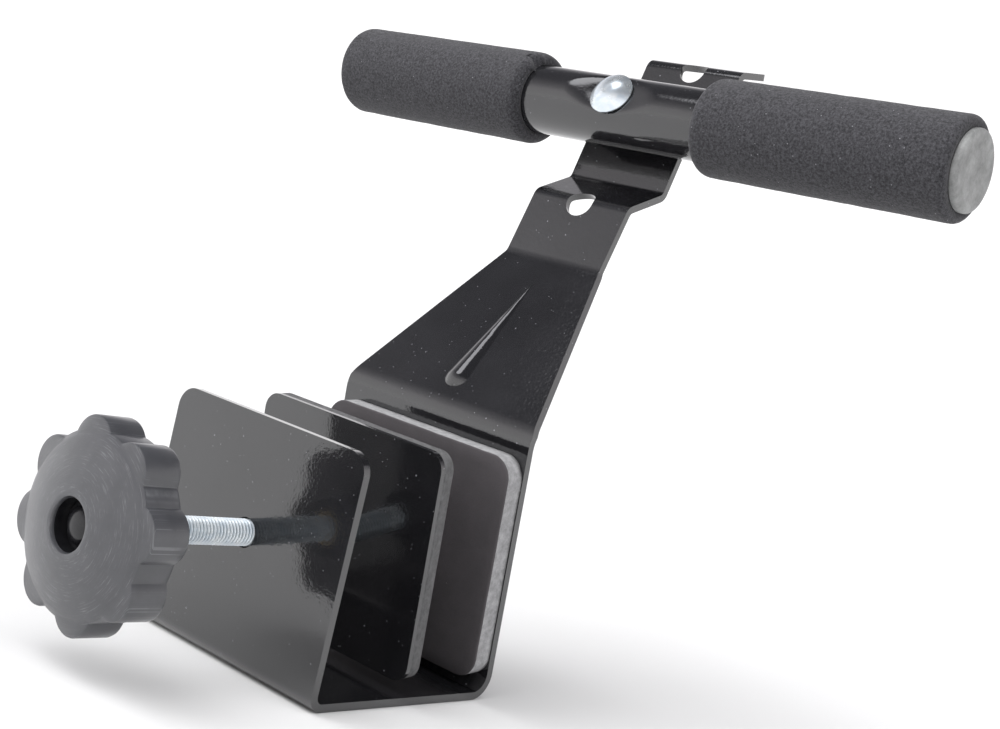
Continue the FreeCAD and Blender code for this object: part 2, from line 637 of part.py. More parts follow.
def bar_fasteners():
    """Bolt through the tube and the crest, with the saddle, washers and nut behind the arm."""
    radius = "Sizes.bolt_dia / 2"
    shank = turned("bolt_shank", [
        ("0", "-Sizes.bolt_length"), (f"{radius} - Sizes.bolt_chamfer", "-Sizes.bolt_length"),
        (radius, "Sizes.bolt_chamfer - Sizes.bolt_length"), (radius, "Sizes.bolt_rim"),
        ("0", "Sizes.bolt_rim")])
    disc = primitive("Cylinder", "bolt_head_disc", Radius="Sizes.bolt_head_dia / 2", Height="Sizes.bolt_dome")
    dome = primitive("Sphere", "bolt_head_dome", Radius="Places.dome_radius")
    head = common("bolt_head", bar_frame(disc, "Places.head_lift"),
                  bar_frame(dome, "Places.head_lift + Places.dome_centre"))
    keep("bar_bolt", fuse("bolt_whole", bar_frame(shank, "Places.head_lift"), head))

    # the saddle fills the wedge behind the crest, flat where the washer sits
    saddle = doc.addObject("PartDesign::Body", "saddle_body")
    section = sketch_on(saddle, "saddle_section", "YZ_Plane")
    reach = "(Sizes.tight_bend - Sizes.saddle_gap)"
    half = "(Sizes.washer_dia / 2)"
    tread_turn = "(Sizes.hole_slope - Sizes.tread_slope)"
    riser_turn = "(90 - Sizes.riser_slope - Sizes.hole_slope)"
    corner = f"({reach} / cos(Places.crest_turn / 2))"
    corner_turn = f"({tread_turn} - Places.crest_turn / 2)"
    pinned_outline(section, [
        (f"-{half}", "-Sizes.saddle_drop"), (half, "-Sizes.saddle_drop"),
        (half, f"({reach} - {half} * sin({tread_turn})) / cos({tread_turn})"),
        (f"{corner} * sin({corner_turn})", f"{corner} * cos({corner_turn})"),
        (f"-{half}", f"({reach} - {half} * sin({riser_turn})) / cos({riser_turn})")])
    pad(saddle, section, "saddle_block", "Sizes.saddle_width", symmetric=True)
    bar_frame(saddle)
    clearance = primitive("Cylinder", "saddle_hole", Radius="Sizes.bolt_dia / 2 + Sizes.hole_gap / 2",
                          Height="Sizes.drill_length")
    keep("saddle_washer", cut("saddle_washer_cut", saddle, bar_frame(clearance, "-Sizes.drill_length / 2")))

    bore = "Sizes.bolt_dia + Sizes.hole_gap"
    under_washer = "-Sizes.saddle_drop - Sizes.washer_thickness"
    washer, hole = ring("bar_flat_washer", "Sizes.washer_dia", bore, "Sizes.washer_thickness")
    keep("bar_flat_washer", cut("bar_flat_washer_cut", bar_frame(washer, under_washer),
                                bar_frame(hole, under_washer)))
    under_lock = under_washer + " - Sizes.lock_washer_thickness"
    spring, hole = ring("bar_lock_washer", "Sizes.lock_washer_dia", bore, "Sizes.lock_washer_thickness")
    slit = primitive("Box", "lock_washer_slit", Length="Sizes.washer_dia",
                     Width="Sizes.lock_washer_slit", Height="Sizes.lock_washer_thickness")
    bar_frame(slit, under_lock)
    keep("bar_lock_washer", cut("bar_lock_washer_cut", bar_frame(spring, under_lock),
                                fuse("lock_washer_cuts", bar_frame(hole, under_lock), slit)))
    under_nut = under_lock + " - Sizes.nut_height"
    nut = bar_frame(hexagon("bar_nut_block", "Sizes.nut_flats", "Sizes.nut_height"), under_nut)
    thread = primitive("Cylinder", "bar_nut_thread", Radius="Sizes.bolt_dia / 2 + Sizes.fit_gap",
                       Height="Sizes.nut_height")
    keep("bar_nut", cut("bar_nut_cut", nut, bar_frame(thread, under_nut)))


def hand_screw():
    """Screw with a turned-down tip, the thrust washer at its shoulder and the clip behind the plate."""
    start = "(Places.knob_y - (Sizes.insert_length - Sizes.knob_hub_length))"
    length = f"(Places.screw_tip_y - {start})"
    radius, tip = "Sizes.screw_dia / 2", "Sizes.tip_dia / 2"
    screw = turned("clamp_screw", [
        ("0", "0"), (f"{radius} - Sizes.screw_chamfer", "0"), (radius, "Sizes.screw_chamfer"),
        (radius, f"{length} - Sizes.screw_chamfer"), (f"{radius} - Sizes.screw_chamfer", length),
        (tip, length), (tip, f"{length} + Sizes.tip_length"), ("0", f"{length} + Sizes.tip_length")])
    keep("clamp_screw", along_screw(screw, start))

    washer, hole = ring("thrust_washer", "Sizes.thrust_dia", "Sizes.tip_dia + 2 * Sizes.fit_gap",
                        "Sizes.thrust_thickness - Sizes.fit_gap")
    face = "Places.screw_tip_y + Sizes.fit_gap"
    keep("thrust_washer", cut("thrust_washer_cut", along_screw(washer, face), along_screw(hole, face)))

    clip, groove = ring("tip_clip", "Sizes.clip_dia", "Sizes.tip_dia", "Sizes.clip_thickness")
    behind = "Places.pivot_y + Sizes.plate_gauge / 2 + Sizes.clip_gap"
    keep("tip_clip", cut("tip_clip_cut", along_screw(clip, behind), along_screw(groove, behind)))


def towards_user(shape_object, lift="0", spin="0"):
    """Turns an upright shape so that it points out along the screw from the back of the knob's disc."""
    formula = (f"placement(vector(0; Places.knob_y - ({lift}); Sizes.screw_height);"
               f" rotation(0; 0; 90) * rotation({spin}; 0; 0))")
    shape_object.setExpression("Placement", formula)
    return shape_object


def knob():
    """Moulded knob with eight lobes, a threaded insert and a cap over the screw's end."""
    hub, disc = "Sizes.knob_hub_dia / 2", "Sizes.knob_disc_dia / 2"
    core = turned("knob_core", [
        ("Sizes.insert_dia / 2", "-Sizes.knob_hub_length"), (hub, "-Sizes.knob_hub_length"),
        (f"{hub} + Sizes.knob_hub_flare", "0"), (disc, "0"), (disc, "Sizes.knob_height"),
        ("Sizes.recess_dia / 2", "Sizes.knob_height"), ("Sizes.recess_dia / 2", "Places.recess_floor"),
        ("0", "Places.recess_floor"), ("0", "Sizes.insert_length - Sizes.knob_hub_length"),
        ("Sizes.insert_dia / 2", "Sizes.insert_length - Sizes.knob_hub_length")])
    lobe = sketch_on(core, "lobe_circle", "XY_Plane")
    radius, reach = SIZES["lobe_dia"] / 2, SIZES["lobe_circle"]
    lobe.addGeometry(Part.Circle(FreeCAD.Vector(0, reach, 0), FreeCAD.Vector(0, 0, 1), radius))
    lobe.addConstraint(Sketcher.Constraint("PointOnObject", 0, 3, -2))
    bound(lobe, Sketcher.Constraint("DistanceY", -1, 1, 0, 3, reach), "Sizes.lobe_circle")
    bound(lobe, Sketcher.Constraint("Diameter", 0, 2 * radius), "Sizes.lobe_dia")
    one_lobe = pad(core, lobe, "one_lobe", "Sizes.knob_height")
    lobes = core.newObject("PartDesign::PolarPattern", "lobes")
    lobes.Originals = [one_lobe]
    lobes.Axis = (lobe, ["N_Axis"])
    lobes.Angle = 360
    lobes.setExpression("Occurrences", "Sizes.lobe_count")
    core.Tip = lobes
    dome = primitive("Sphere", "knob_dome", Radius="Sizes.knob_dome")
    towards_user(dome, "Sizes.knob_height - Sizes.knob_dome")
    keep("knob", common("knob_domed", towards_user(core, "0", "Sizes.lobe_phase"), dome))

    insert, thread = ring("knob_insert", "Sizes.insert_dia", "Sizes.screw_dia", "Sizes.insert_length")
    back = "-Sizes.knob_hub_length"
    keep("knob_insert", cut("knob_insert_cut", towards_user(insert, back), towards_user(thread, back)))

    cap_radius = "(Sizes.recess_dia / 2 - Sizes.fit_gap)"
    plug = primitive("Cylinder", "knob_cap_plug", Radius=cap_radius, Height="Sizes.cap_dome_height")
    towards_user(plug, "Places.recess_floor")
    rise = "(Sizes.cap_dome_height - Sizes.cap_rim)"
    sphere = f"({cap_radius} ^ 2 + {rise} ^ 2) / (2 * {rise})"
    crown = primitive("Sphere", "knob_cap_crown", Radius=sphere)
    towards_user(crown, f"Places.recess_floor + Sizes.cap_dome_height - {sphere}")
    keep("knob_cap", common("knob_cap_domed", plug, crown))


clamp_frame()
weld_nut()
jaw()
cross_tube()
grips_and_caps()
bar_fasteners()
hand_screw()
knob()
doc.recompute()

for member in doc.Objects:
    if "Invalid" in member.State or "Error" in member.State:
        raise RuntimeError(f"{member.Name} failed: {member.State}")
for name, part in parts.items():
    if part.Shape.isNull() or not part.Shape.isValid() or not part.Shape.Solids:
        raise RuntimeError(f"{name} has no valid solid")

os.makedirs("parts", exist_ok=True)
for name, part in parts.items():
    part.Shape.exportStep(f"parts/{name}.step")
    box = part.Shape.BoundBox
    print(f"{name:16s} {len(part.Shape.Solids)} solid  {part.Shape.Volume:10.1f} mm3"
          f"  x {box.XMin:.2f} {box.XMax:.2f}  y {box.YMin:.2f} {box.YMax:.2f}"
          f"  z {box.ZMin:.2f} {box.ZMax:.2f}")
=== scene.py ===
import json
import math

import bmesh
import bpy
from mathutils import Matrix, Vector, noise


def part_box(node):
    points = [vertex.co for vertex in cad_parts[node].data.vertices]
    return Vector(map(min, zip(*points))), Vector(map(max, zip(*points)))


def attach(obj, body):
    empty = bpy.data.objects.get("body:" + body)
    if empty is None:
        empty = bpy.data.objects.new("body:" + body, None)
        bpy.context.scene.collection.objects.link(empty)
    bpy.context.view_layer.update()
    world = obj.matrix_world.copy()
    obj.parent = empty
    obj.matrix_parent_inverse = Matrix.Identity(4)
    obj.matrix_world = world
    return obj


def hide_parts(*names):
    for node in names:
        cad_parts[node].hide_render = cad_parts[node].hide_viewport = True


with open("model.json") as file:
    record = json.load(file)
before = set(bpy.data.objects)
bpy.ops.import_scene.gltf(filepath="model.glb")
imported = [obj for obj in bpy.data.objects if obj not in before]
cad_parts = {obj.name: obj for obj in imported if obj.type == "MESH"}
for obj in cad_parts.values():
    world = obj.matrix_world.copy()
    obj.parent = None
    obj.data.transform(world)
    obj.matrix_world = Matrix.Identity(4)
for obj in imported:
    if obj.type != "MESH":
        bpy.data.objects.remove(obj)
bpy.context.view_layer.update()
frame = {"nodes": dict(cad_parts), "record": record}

# ---------------------------------------------------------------------------------------------------------
# Clamp frame.  One piece of 3 mm sheet, laser cut, pressed and bent, then dipped and stoved in black enamel,
# which flows back from the sheet's edges, dries with a slight orange peel and catches grains of dust.

ENAMEL_BLACK = (0.0075, 0.0075, 0.0085, 1.0)
ENAMEL_HAZE = (0.012, 0.012, 0.0135, 1.0)
DUST_GREY = (0.17, 0.17, 0.185, 1.0)
PEEL_PER_METRE, FINE_PEEL_PER_METRE = 420.0, 1008.0
PEEL_DEPTH, FINE_PEEL_DEPTH = 0.000030, 0.000032
DUST_PER_METRE, FINE_DUST_PER_METRE = 170.0, 527.0
DUST_RISE = 0.00006
SHEET_EDGE = 0.0006
CORNER_GAP = 0.000005
SHARP_ANGLE = math.radians(35.0)


def new_material(name):
    """A material with its shader and an object-space point to build on."""
    material = bpy.data.materials.new(name)
    material.use_nodes = True
    tree = material.node_tree
    shader = tree.nodes["Principled BSDF"]
    point = tree.nodes.new("ShaderNodeTexCoord").outputs["Object"]
    return material, tree, shader, point


def grain(tree, point, per_metre, detail=2.0, rough=0.5):
    """Cloudy noise with features of about 1/per_metre metres."""
    texture = tree.nodes.new("ShaderNodeTexNoise")
    texture.inputs["Scale"].default_value = per_metre
    texture.inputs["Detail"].default_value = detail
    texture.inputs["Roughness"].default_value = rough
    tree.links.new(point, texture.inputs["Vector"])
    return texture.outputs["Fac"]


def math_node(tree, operation, first, second=0.0):
    """One sum on two inputs, each a socket or a number."""
    step = tree.nodes.new("ShaderNodeMath")
    step.operation = operation
    for socket, value in zip(step.inputs, (first, second)):
        if isinstance(value, (int, float)):
            socket.default_value = value
        else:
            tree.links.new(value, socket)
    return step.outputs["Value"]


def spots(tree, point, per_metre, size, share):
    """Scattered round spots: 1 inside a spot, 0 outside, in only a share of the cells."""
    cells = tree.nodes.new("ShaderNodeTexVoronoi")
    cells.inputs["Scale"].default_value = per_metre
    tree.links.new(point, cells.inputs["Vector"])
    near = math_node(tree, "LESS_THAN", cells.outputs["Distance"], size)
    chance = tree.nodes.new("ShaderNodeSeparateColor")
    tree.links.new(cells.outputs["Color"], chance.inputs["Color"])
    chosen = math_node(tree, "LESS_THAN", chance.outputs["Red"], share)
    return math_node(tree, "MULTIPLY", near, chosen)


def ramp(tree, fac, *stops):
    """Colours blended by position, each stop a (position, colour) pair."""
    blend = tree.nodes.new("ShaderNodeValToRGB")
    band = blend.color_ramp
    while len(band.elements) < len(stops):
        band.elements.new(0.5)
    for element, (position, colour) in zip(band.elements, stops):
        element.position = position
        element.color = colour
    tree.links.new(fac, blend.inputs["Fac"])
    return blend.outputs["Color"]


def mix_colour(tree, fac, below, above):
    """below where fac is 0 and above where it is 1; each a socket or a colour."""
    mixer = tree.nodes.new("ShaderNodeMix")
    mixer.data_type = "RGBA"
    tree.links.new(fac, mixer.inputs["Factor"])
    for key, value in (("A", below), ("B", above)):
        socket = next(s for s in mixer.inputs if s.name == key and s.type == "RGBA")
        if isinstance(value, tuple):
            socket.default_value = value
        else:
            tree.links.new(value, socket)
    return next(s for s in mixer.outputs if s.type == "RGBA")


def level(tree, fac, low, high):
    """A number from low to high as fac goes from 0 to 1."""
    spread = tree.nodes.new("ShaderNodeMapRange")
    spread.inputs["To Min"].default_value = low
    spread.inputs["To Max"].default_value = high
    tree.links.new(fac, spread.inputs["Value"])
    return spread.outputs["Result"]


def bump(tree, shader, *layers):
    """Stacks height layers, each (height, depth in metres), into the shader's normal."""
    normal = None
    for height, depth in layers:
        step = tree.nodes.new("ShaderNodeBump")
        step.inputs["Strength"].default_value = 1.0
        step.inputs["Distance"].default_value = depth
        tree.links.new(height, step.inputs["Height"])
        if normal is not None:
            tree.links.new(normal, step.inputs["Normal"])
        normal = step.outputs["Normal"]
    tree.links.new(normal, shader.inputs["Normal"])


def stoved_enamel(name):
    """Glossy black enamel with orange peel, a faint haze and grains of dust."""
    material, tree, shader, point = new_material(name)
    dust = spots(tree, point, DUST_PER_METRE, size=0.055, share=0.45)
    fine_dust = spots(tree, point, FINE_DUST_PER_METRE, size=0.11, share=0.20)
    all_dust = math_node(tree, "MAXIMUM", dust, fine_dust)
    haze = grain(tree, point, 35.0, detail=4.0)
    body_colour = ramp(tree, haze, (0.35, ENAMEL_BLACK), (0.75, ENAMEL_HAZE))
    tree.links.new(mix_colour(tree, all_dust, body_colour, DUST_GREY), shader.inputs["Base Color"])
    tree.links.new(level(tree, haze, low=0.07, high=0.13), shader.inputs["Roughness"])
    shader.inputs["IOR"].default_value = 1.75
    shader.inputs["Coat Weight"].default_value = 0.65
    shader.inputs["Coat Roughness"].default_value = 0.04
    peel = grain(tree, point, PEEL_PER_METRE, detail=1.0)
    fine_peel = grain(tree, point, FINE_PEEL_PER_METRE, detail=1.0)
    bump(tree, shader, (peel, PEEL_DEPTH), (fine_peel, FINE_PEEL_DEPTH), (all_dust, DUST_RISE))
    return material


def coat(thing, *materials):
    """Puts these materials in a piece's slots, in order, so that each face keeps the slot it names."""
    slots = thing.data.materials
    for number, material in enumerate(materials):
        if number < len(slots):
            slots[number] = material
        else:
            slots.append(material)


def smooth_shading():
    """A node group that shades every face smooth, for a modifier that leaves the mesh itself as it is."""
    group = bpy.data.node_groups.new("smooth shading", "GeometryNodeTree")
    group.interface.new_socket("Geometry", in_out="INPUT", socket_type="NodeSocketGeometry")
    group.interface.new_socket("Geometry", in_out="OUTPUT", socket_type="NodeSocketGeometry")
    shade = group.nodes.new("GeometryNodeSetShadeSmooth")
    group.links.new(group.nodes.new("NodeGroupInput").outputs["Geometry"], shade.inputs["Geometry"])
    group.links.new(shade.outputs["Geometry"], group.nodes.new("NodeGroupOutput").inputs["Geometry"])
    return group


def soften_edges(thing, width, segments=3):
    """Rounds a CAD piece's sharp edges with modifiers, which leave its mesh as it is."""
    weld = thing.modifiers.new("joined corners", "WELD")
    weld.merge_threshold = CORNER_GAP
    thing.modifiers.new("smooth faces", "NODES").node_group = all_smooth
    edge = thing.modifiers.new("rolled edge", "BEVEL")
    edge.width = width
    edge.segments = segments
    edge.limit_method = "ANGLE"
    edge.angle_limit = SHARP_ANGLE
    edge.use_clamp_overlap = True
    even = thing.modifiers.new("even shading", "WEIGHTED_NORMAL")
    even.keep_sharp = False


nodes = frame["nodes"]
all_smooth = smooth_shading()
enamel = stoved_enamel("black_enamel")
clamp = nodes["clamp_frame"]
coat(clamp, enamel)
soften_edges(clamp, SHEET_EDGE)

# ---------------------------------------------------------------------------------------------------------
# Weld nut.  A hexagonal nut projection-welded behind the screw hole before painting, so it carries the same
# enamel as the frame.

SMALL_PART_EDGE = 0.0005

weld_nut = nodes["weld_nut"]
coat(weld_nut, enamel)
soften_edges(weld_nut, SMALL_PART_EDGE)

# ---------------------------------------------------------------------------------------------------------
# Fixed jaw pad.  A block of dense black foam rubber, knife cut from sheet, so its face keeps the smooth skin
# of the sheet and its cut sides are paler and open grained.  It is glued to the rear wall.

PAD_SKIN = (0.050, 0.046, 0.049, 1.0)
PAD_SKIN_WORN = (0.064, 0.058, 0.062, 1.0)
PAD_LINT = (0.13, 0.12, 0.12, 1.0)
PAD_CUT_GREYS = (0.15, 0.20, 0.27)
# The fixed pad's cut sides are painted lighter than the foam's own greys: painted light.
FIXED_PAD_PAINTED_LIGHT = 1.35
FIXED_PAD_SIZE = (0.099, 0.088, 0.0085)
FIXED_PAD_CORNER = 0.009
FIXED_PAD_RIPPLE = 0.0002
PAD_ARRIS = 0.0007
CORNER_POINTS, SIDE_POINTS = 9, 14
RIPPLES_PER_METRE, DIPS_PER_METRE = 240, 55
DIP_DEPTH = 0.00018
SKIN_INDEX, CUT_INDEX = 0, 1


def foam_skin(name):
    """The moulded face of foam sheet: brownish black, dull, with a faint cloudy wear."""
    material, tree, shader, point = new_material(name)
    cloud = grain(tree, point, 60.0, detail=5.0, rough=0.65)
    speckle = grain(tree, point, 1600.0)
    worn = ramp(tree, cloud, (0.38, PAD_SKIN), (0.72, PAD_SKIN_WORN))
    lint = spots(tree, point, 210.0, size=0.06, share=0.09)
    tree.links.new(mix_colour(tree, lint, worn, PAD_LINT), shader.inputs["Base Color"])
    tree.links.new(level(tree, speckle, low=0.62, high=0.86), shader.inputs["Roughness"])
    shader.inputs["IOR"].default_value = 1.45
    bump(tree, shader, (cloud, 0.00012), (speckle, 0.00004))
    return material


def foam_cut(name, shade):
    """Knife-cut foam, paler, mottled, open celled; a shade over 1 paints light on it, under 1 paints shade.
    """
    material, tree, shader, point = new_material(name)
    mottle = grain(tree, point, 430.0, detail=6.0, rough=0.7)
    cells = grain(tree, point, 2100.0)
    # The foam's own greys, scaled by shade into painted light or painted shade.
    cut_greys_with_painted_light = [(grey * shade, grey * shade, grey * shade * 1.02, 1.0) for grey in PAD_CUT_GREYS]
    pale = ramp(tree, mottle, *zip((0.34, 0.50, 0.72), cut_greys_with_painted_light))
    tree.links.new(pale, shader.inputs["Base Color"])
    shader.inputs["Roughness"].default_value = 0.95
    shader.inputs["IOR"].default_value = 1.4
    bump(tree, shader, (mottle, 0.00020), (cells, 0.00010))
    return material


def rounded_outline(width, height, corner):
    """Points round a rectangle with rounded corners, anticlockwise, each with its outward direction."""
    reach_x, reach_y = width / 2 - corner, height / 2 - corner
    signs = ((1, 1), (-1, 1), (-1, -1), (1, -1))
    centres = [Vector((sign_x * reach_x, sign_y * reach_y)) for sign_x, sign_y in signs]
    points = []
    for quarter, centre in enumerate(centres):
        for step in range(CORNER_POINTS):
            angle = math.pi / 2 * (quarter + step / (CORNER_POINTS - 1))
            out = Vector((math.cos(angle), math.sin(angle)))
            points.append((centre + corner * out, out))
        start, end = centre + corner * out, centres[(quarter + 1) % 4] + corner * out
        for step in range(1, SIDE_POINTS):
            points.append((start.lerp(end, step / SIDE_POINTS), out))
    return points


def join_rings(mesh, lower, upper, material_index=0, smooth=True):
    """Faces between two closed rings with the same number of corners."""
    count = len(lower)
    for number in range(count):
        following = (number + 1) % count
        face = mesh.faces.new((lower[number], lower[following], upper[following], upper[number]))
        face.material_index = material_index
        face.smooth = smooth


def finish_mesh(mesh, name):
    """Turns a bmesh into an object in the scene."""
    bmesh.ops.recalc_face_normals(mesh, faces=mesh.faces[:])
    data = bpy.data.meshes.new(name)
    mesh.to_mesh(data)
    mesh.free()
    thing = bpy.data.objects.new(name, data)
    bpy.context.scene.collection.objects.link(thing)
    return thing


def foam_pad(name, size, corner, arris, ripple):
    """A rounded slab of foam: X across, Y up, its working face at z = 0 and its back at z = -thickness."""
    width, height, thickness = size
    outline = rounded_outline(width, height, corner)
    mesh = bmesh.new()

    def ring(inset, lift, wobble):
        corners = []
        for place, out in outline:
            at = place - out * inset
            shake = noise.noise(Vector((at.x, at.y, lift)) * RIPPLES_PER_METRE) * wobble
            at = at - out * abs(shake)
            corners.append(mesh.verts.new((at.x, at.y, lift)))
        return corners

    cut_sides = [(0.0, -thickness * share) for share in (1.0, 0.75, 0.5, 0.25)]
    rolled_rim = [(0.0, -arris), (arris * 0.3, -arris * 0.3), (arris, 0.0)]
    rings = [ring(inset, lift, ripple if inset == 0.0 else ripple * 0.5)
             for inset, lift in cut_sides + rolled_rim]
    for number, (lower, upper) in enumerate(zip(rings, rings[1:])):
        join_rings(mesh, lower, upper, CUT_INDEX if number < len(cut_sides) else SKIN_INDEX)
    for rim, lift in ((rings[-1], 0.0), (rings[0], -thickness)):
        outer = rim
        for share in (0.9, 0.75, 0.55, 0.35, 0.15):
            inner = []
            for start in rim:
                x, y = start.co.x * share, start.co.y * share
                wave = noise.noise(Vector((x, y, 3.0)) * DIPS_PER_METRE) * DIP_DEPTH
                dip = -abs(wave) if lift == 0.0 else 0.0
                inner.append(mesh.verts.new((x, y, lift + dip)))
            join_rings(mesh, outer, inner, SKIN_INDEX)
            outer = inner
        mesh.faces.new(outer).material_index = SKIN_INDEX
    return finish_mesh(mesh, name)


def face_along(position, normal):
    """A matrix that puts a part's XY plane at a position, with Z along a normal that has no X in it."""
    out = Vector(normal).normalized()
    across = Vector((1, 0, 0))
    up = out.cross(across)
    turn = Matrix((across, up, out)).transposed().to_4x4()
    return Matrix.Translation(Vector(position)) @ turn


mounts = {mount["name"]: mount for mount in frame["record"]["mounts"]}
fixed_face = mounts["fixed_jaw_face"]
skin = foam_skin("jaw_foam")
fixed_pad = foam_pad("fixed_pad_foam", FIXED_PAD_SIZE, FIXED_PAD_CORNER, PAD_ARRIS, FIXED_PAD_RIPPLE)
fixed_pad.data.transform(face_along(fixed_face["pos_m"], fixed_face["axis"]))
# Its cut sides get painted light.
coat(fixed_pad, skin, foam_cut("jaw_foam_cut", FIXED_PAD_PAINTED_LIGHT))
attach(fixed_pad, "root")
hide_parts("fixed_pad")

# ---------------------------------------------------------------------------------------------------------
# Cross tube.  30 mm steel tube with a shallow round dent pressed in at its middle, so that the bolt's wide
# head sits down into it.  It is enamelled like the frame.

TUBE_RADIUS, TUBE_WALL = 0.015, 0.0015
DENT_SPHERE, DENT_DEPTH, DENT_SHOULDER = 0.060, 0.003, 0.0022
TUBE_AROUND = 160
RING_STEP, DENT_RING_STEP = 0.006, 0.0006
DENT_REACH, DENT_MARGIN = 0.030, 0.032
BOLT_SLOPE = math.radians(67.0)

tube_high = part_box("cross_tube")[1]
grip_low, grip_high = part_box("left_grip")
bar_centre = (grip_low + grip_high) / 2
bar_centre.x = 0.0
bolt_out = Vector((0, -math.sin(BOLT_SLOPE), math.cos(BOLT_SLOPE)))
bolt_side = Vector((0, math.cos(BOLT_SLOPE), math.sin(BOLT_SLOPE)))


def dented_radius(along, angle):
    """Outer radius of the tube at a place along it and an angle from the bolt, soft at the dent's rim."""
    centre = TUBE_RADIUS - DENT_DEPTH + DENT_SPHERE
    under_root = DENT_SPHERE ** 2 - along ** 2 - (centre * math.sin(angle)) ** 2
    if math.cos(angle) <= 0 or under_root <= 0:
        return TUBE_RADIUS
    dent = centre * math.cos(angle) - math.sqrt(under_root)
    share = max(0.0, min(1.0, 0.5 + 0.5 * (dent - TUBE_RADIUS) / DENT_SHOULDER))
    return dent + (TUBE_RADIUS - dent) * share - DENT_SHOULDER * share * (1 - share)


def dented_tube(name, half_length):
    """The tube as an outer and an inner skin, closer ringed where the dent is."""
    plain_rings = int((half_length - DENT_MARGIN) / RING_STEP) + 1
    dent_rings = round(DENT_REACH / DENT_RING_STEP)
    left_half = [-half_length + number * RING_STEP for number in range(plain_rings)]
    left_half += [-DENT_REACH + number * DENT_RING_STEP for number in range(dent_rings)]
    places = left_half + [0.0] + [-place for place in reversed(left_half)]
    mesh = bmesh.new()
    skins = []
    for inward in (0.0, TUBE_WALL):
        rings = []
        for along in places:
            ring = []
            for number in range(TUBE_AROUND):
                angle = 2 * math.pi * number / TUBE_AROUND
                radius = dented_radius(along, angle) - inward
                spoke = bolt_out * math.cos(angle) + bolt_side * math.sin(angle)
                ring.append(mesh.verts.new(bar_centre + Vector((along, 0, 0)) + spoke * radius))
            rings.append(ring)
        for left, right in zip(rings, rings[1:]):
            join_rings(mesh, left, right)
        skins.append(rings)
    for end in (0, -1):
        join_rings(mesh, skins[0][end], skins[1][end], smooth=False)
    return finish_mesh(mesh, name)


tube = dented_tube("cross_tube_pressed", tube_high.x)
coat(tube, enamel)
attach(tube, "root")
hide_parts("cross_tube")

# ---------------------------------------------------------------------------------------------------------
# Grips.  Extruded foam sleeves, skinless and fine grained, cut square and pushed on to the tube with air.
# Their ends have rounded over with use, and the left one has a small tear at its inner end.

FOAM_DARK = (0.014, 0.014, 0.016, 1.0)
FOAM_LIGHT = (0.062, 0.061, 0.068, 1.0)
FOAM_GLINT = (0.20, 0.20, 0.215, 1.0)
GRIP_INNER_ROUND, GRIP_OUTER_ROUND = 0.0042, 0.0026
GRIP_AROUND, GRIP_RINGS = 144, 60
BORE_CLEARANCE = 0.00005
LUMPS_PER_METRE, LUMP_DEPTH = 70, 0.00022
PITS_PER_METRE, PIT_DEPTH = 420, 0.00008
TEAR_ANGLE, TEAR_HALF_WIDTH = 2.2, 0.16
TEAR_REACH, TEAR_DEPTH = 0.004, 0.0018
LIP_FROM_TEAR, LIP_HALF_WIDTH, LIP_RISE = 0.25, 0.1, 0.0008


def sleeve_foam(name):
    """Open foam: dark grey, very dull, with a salt-and-pepper grain."""
    material, tree, shader, point = new_material(name)
    fine = grain(tree, point, 1500.0, detail=3.0, rough=0.75)
    coarse = grain(tree, point, 900.0, detail=3.0, rough=0.6)
    both = math_node(tree, "MULTIPLY", math_node(tree, "ADD", fine, coarse), 0.5)
    colour = ramp(tree, both, (0.40, FOAM_DARK), (0.62, FOAM_LIGHT))
    glints = spots(tree, point, 700.0, size=0.16, share=0.05)
    tree.links.new(mix_colour(tree, glints, colour, FOAM_GLINT), shader.inputs["Base Color"])
    shader.inputs["Roughness"].default_value = 0.96
    shader.inputs["IOR"].default_value = 1.35
    shader.inputs["Sheen Weight"].default_value = 0.10
    shader.inputs["Sheen Roughness"].default_value = 0.6
    bump(tree, shader, (coarse, 0.00016), (fine, 0.00012))
    return material


def rounded_over(radius, steps):
    """Setbacks from the end and from the side along a rounded edge, from the side round to the end."""
    turns = [math.pi / 2 * step / steps for step in range(steps + 1)]
    return [(radius * (1 - math.sin(turn)), radius * (1 - math.cos(turn))) for turn in turns]


def tear_setback(angle):
    """How far the torn end stands back at an angle round it: a notch between two raised lips."""
    from_tear = abs(math.atan2(math.sin(angle - TEAR_ANGLE), math.cos(angle - TEAR_ANGLE)))
    notch = TEAR_DEPTH * max(0.0, 1 - from_tear / TEAR_HALF_WIDTH)
    lip = LIP_RISE * max(0.0, 1 - abs(from_tear - LIP_FROM_TEAR) / LIP_HALF_WIDTH)
    return notch - lip


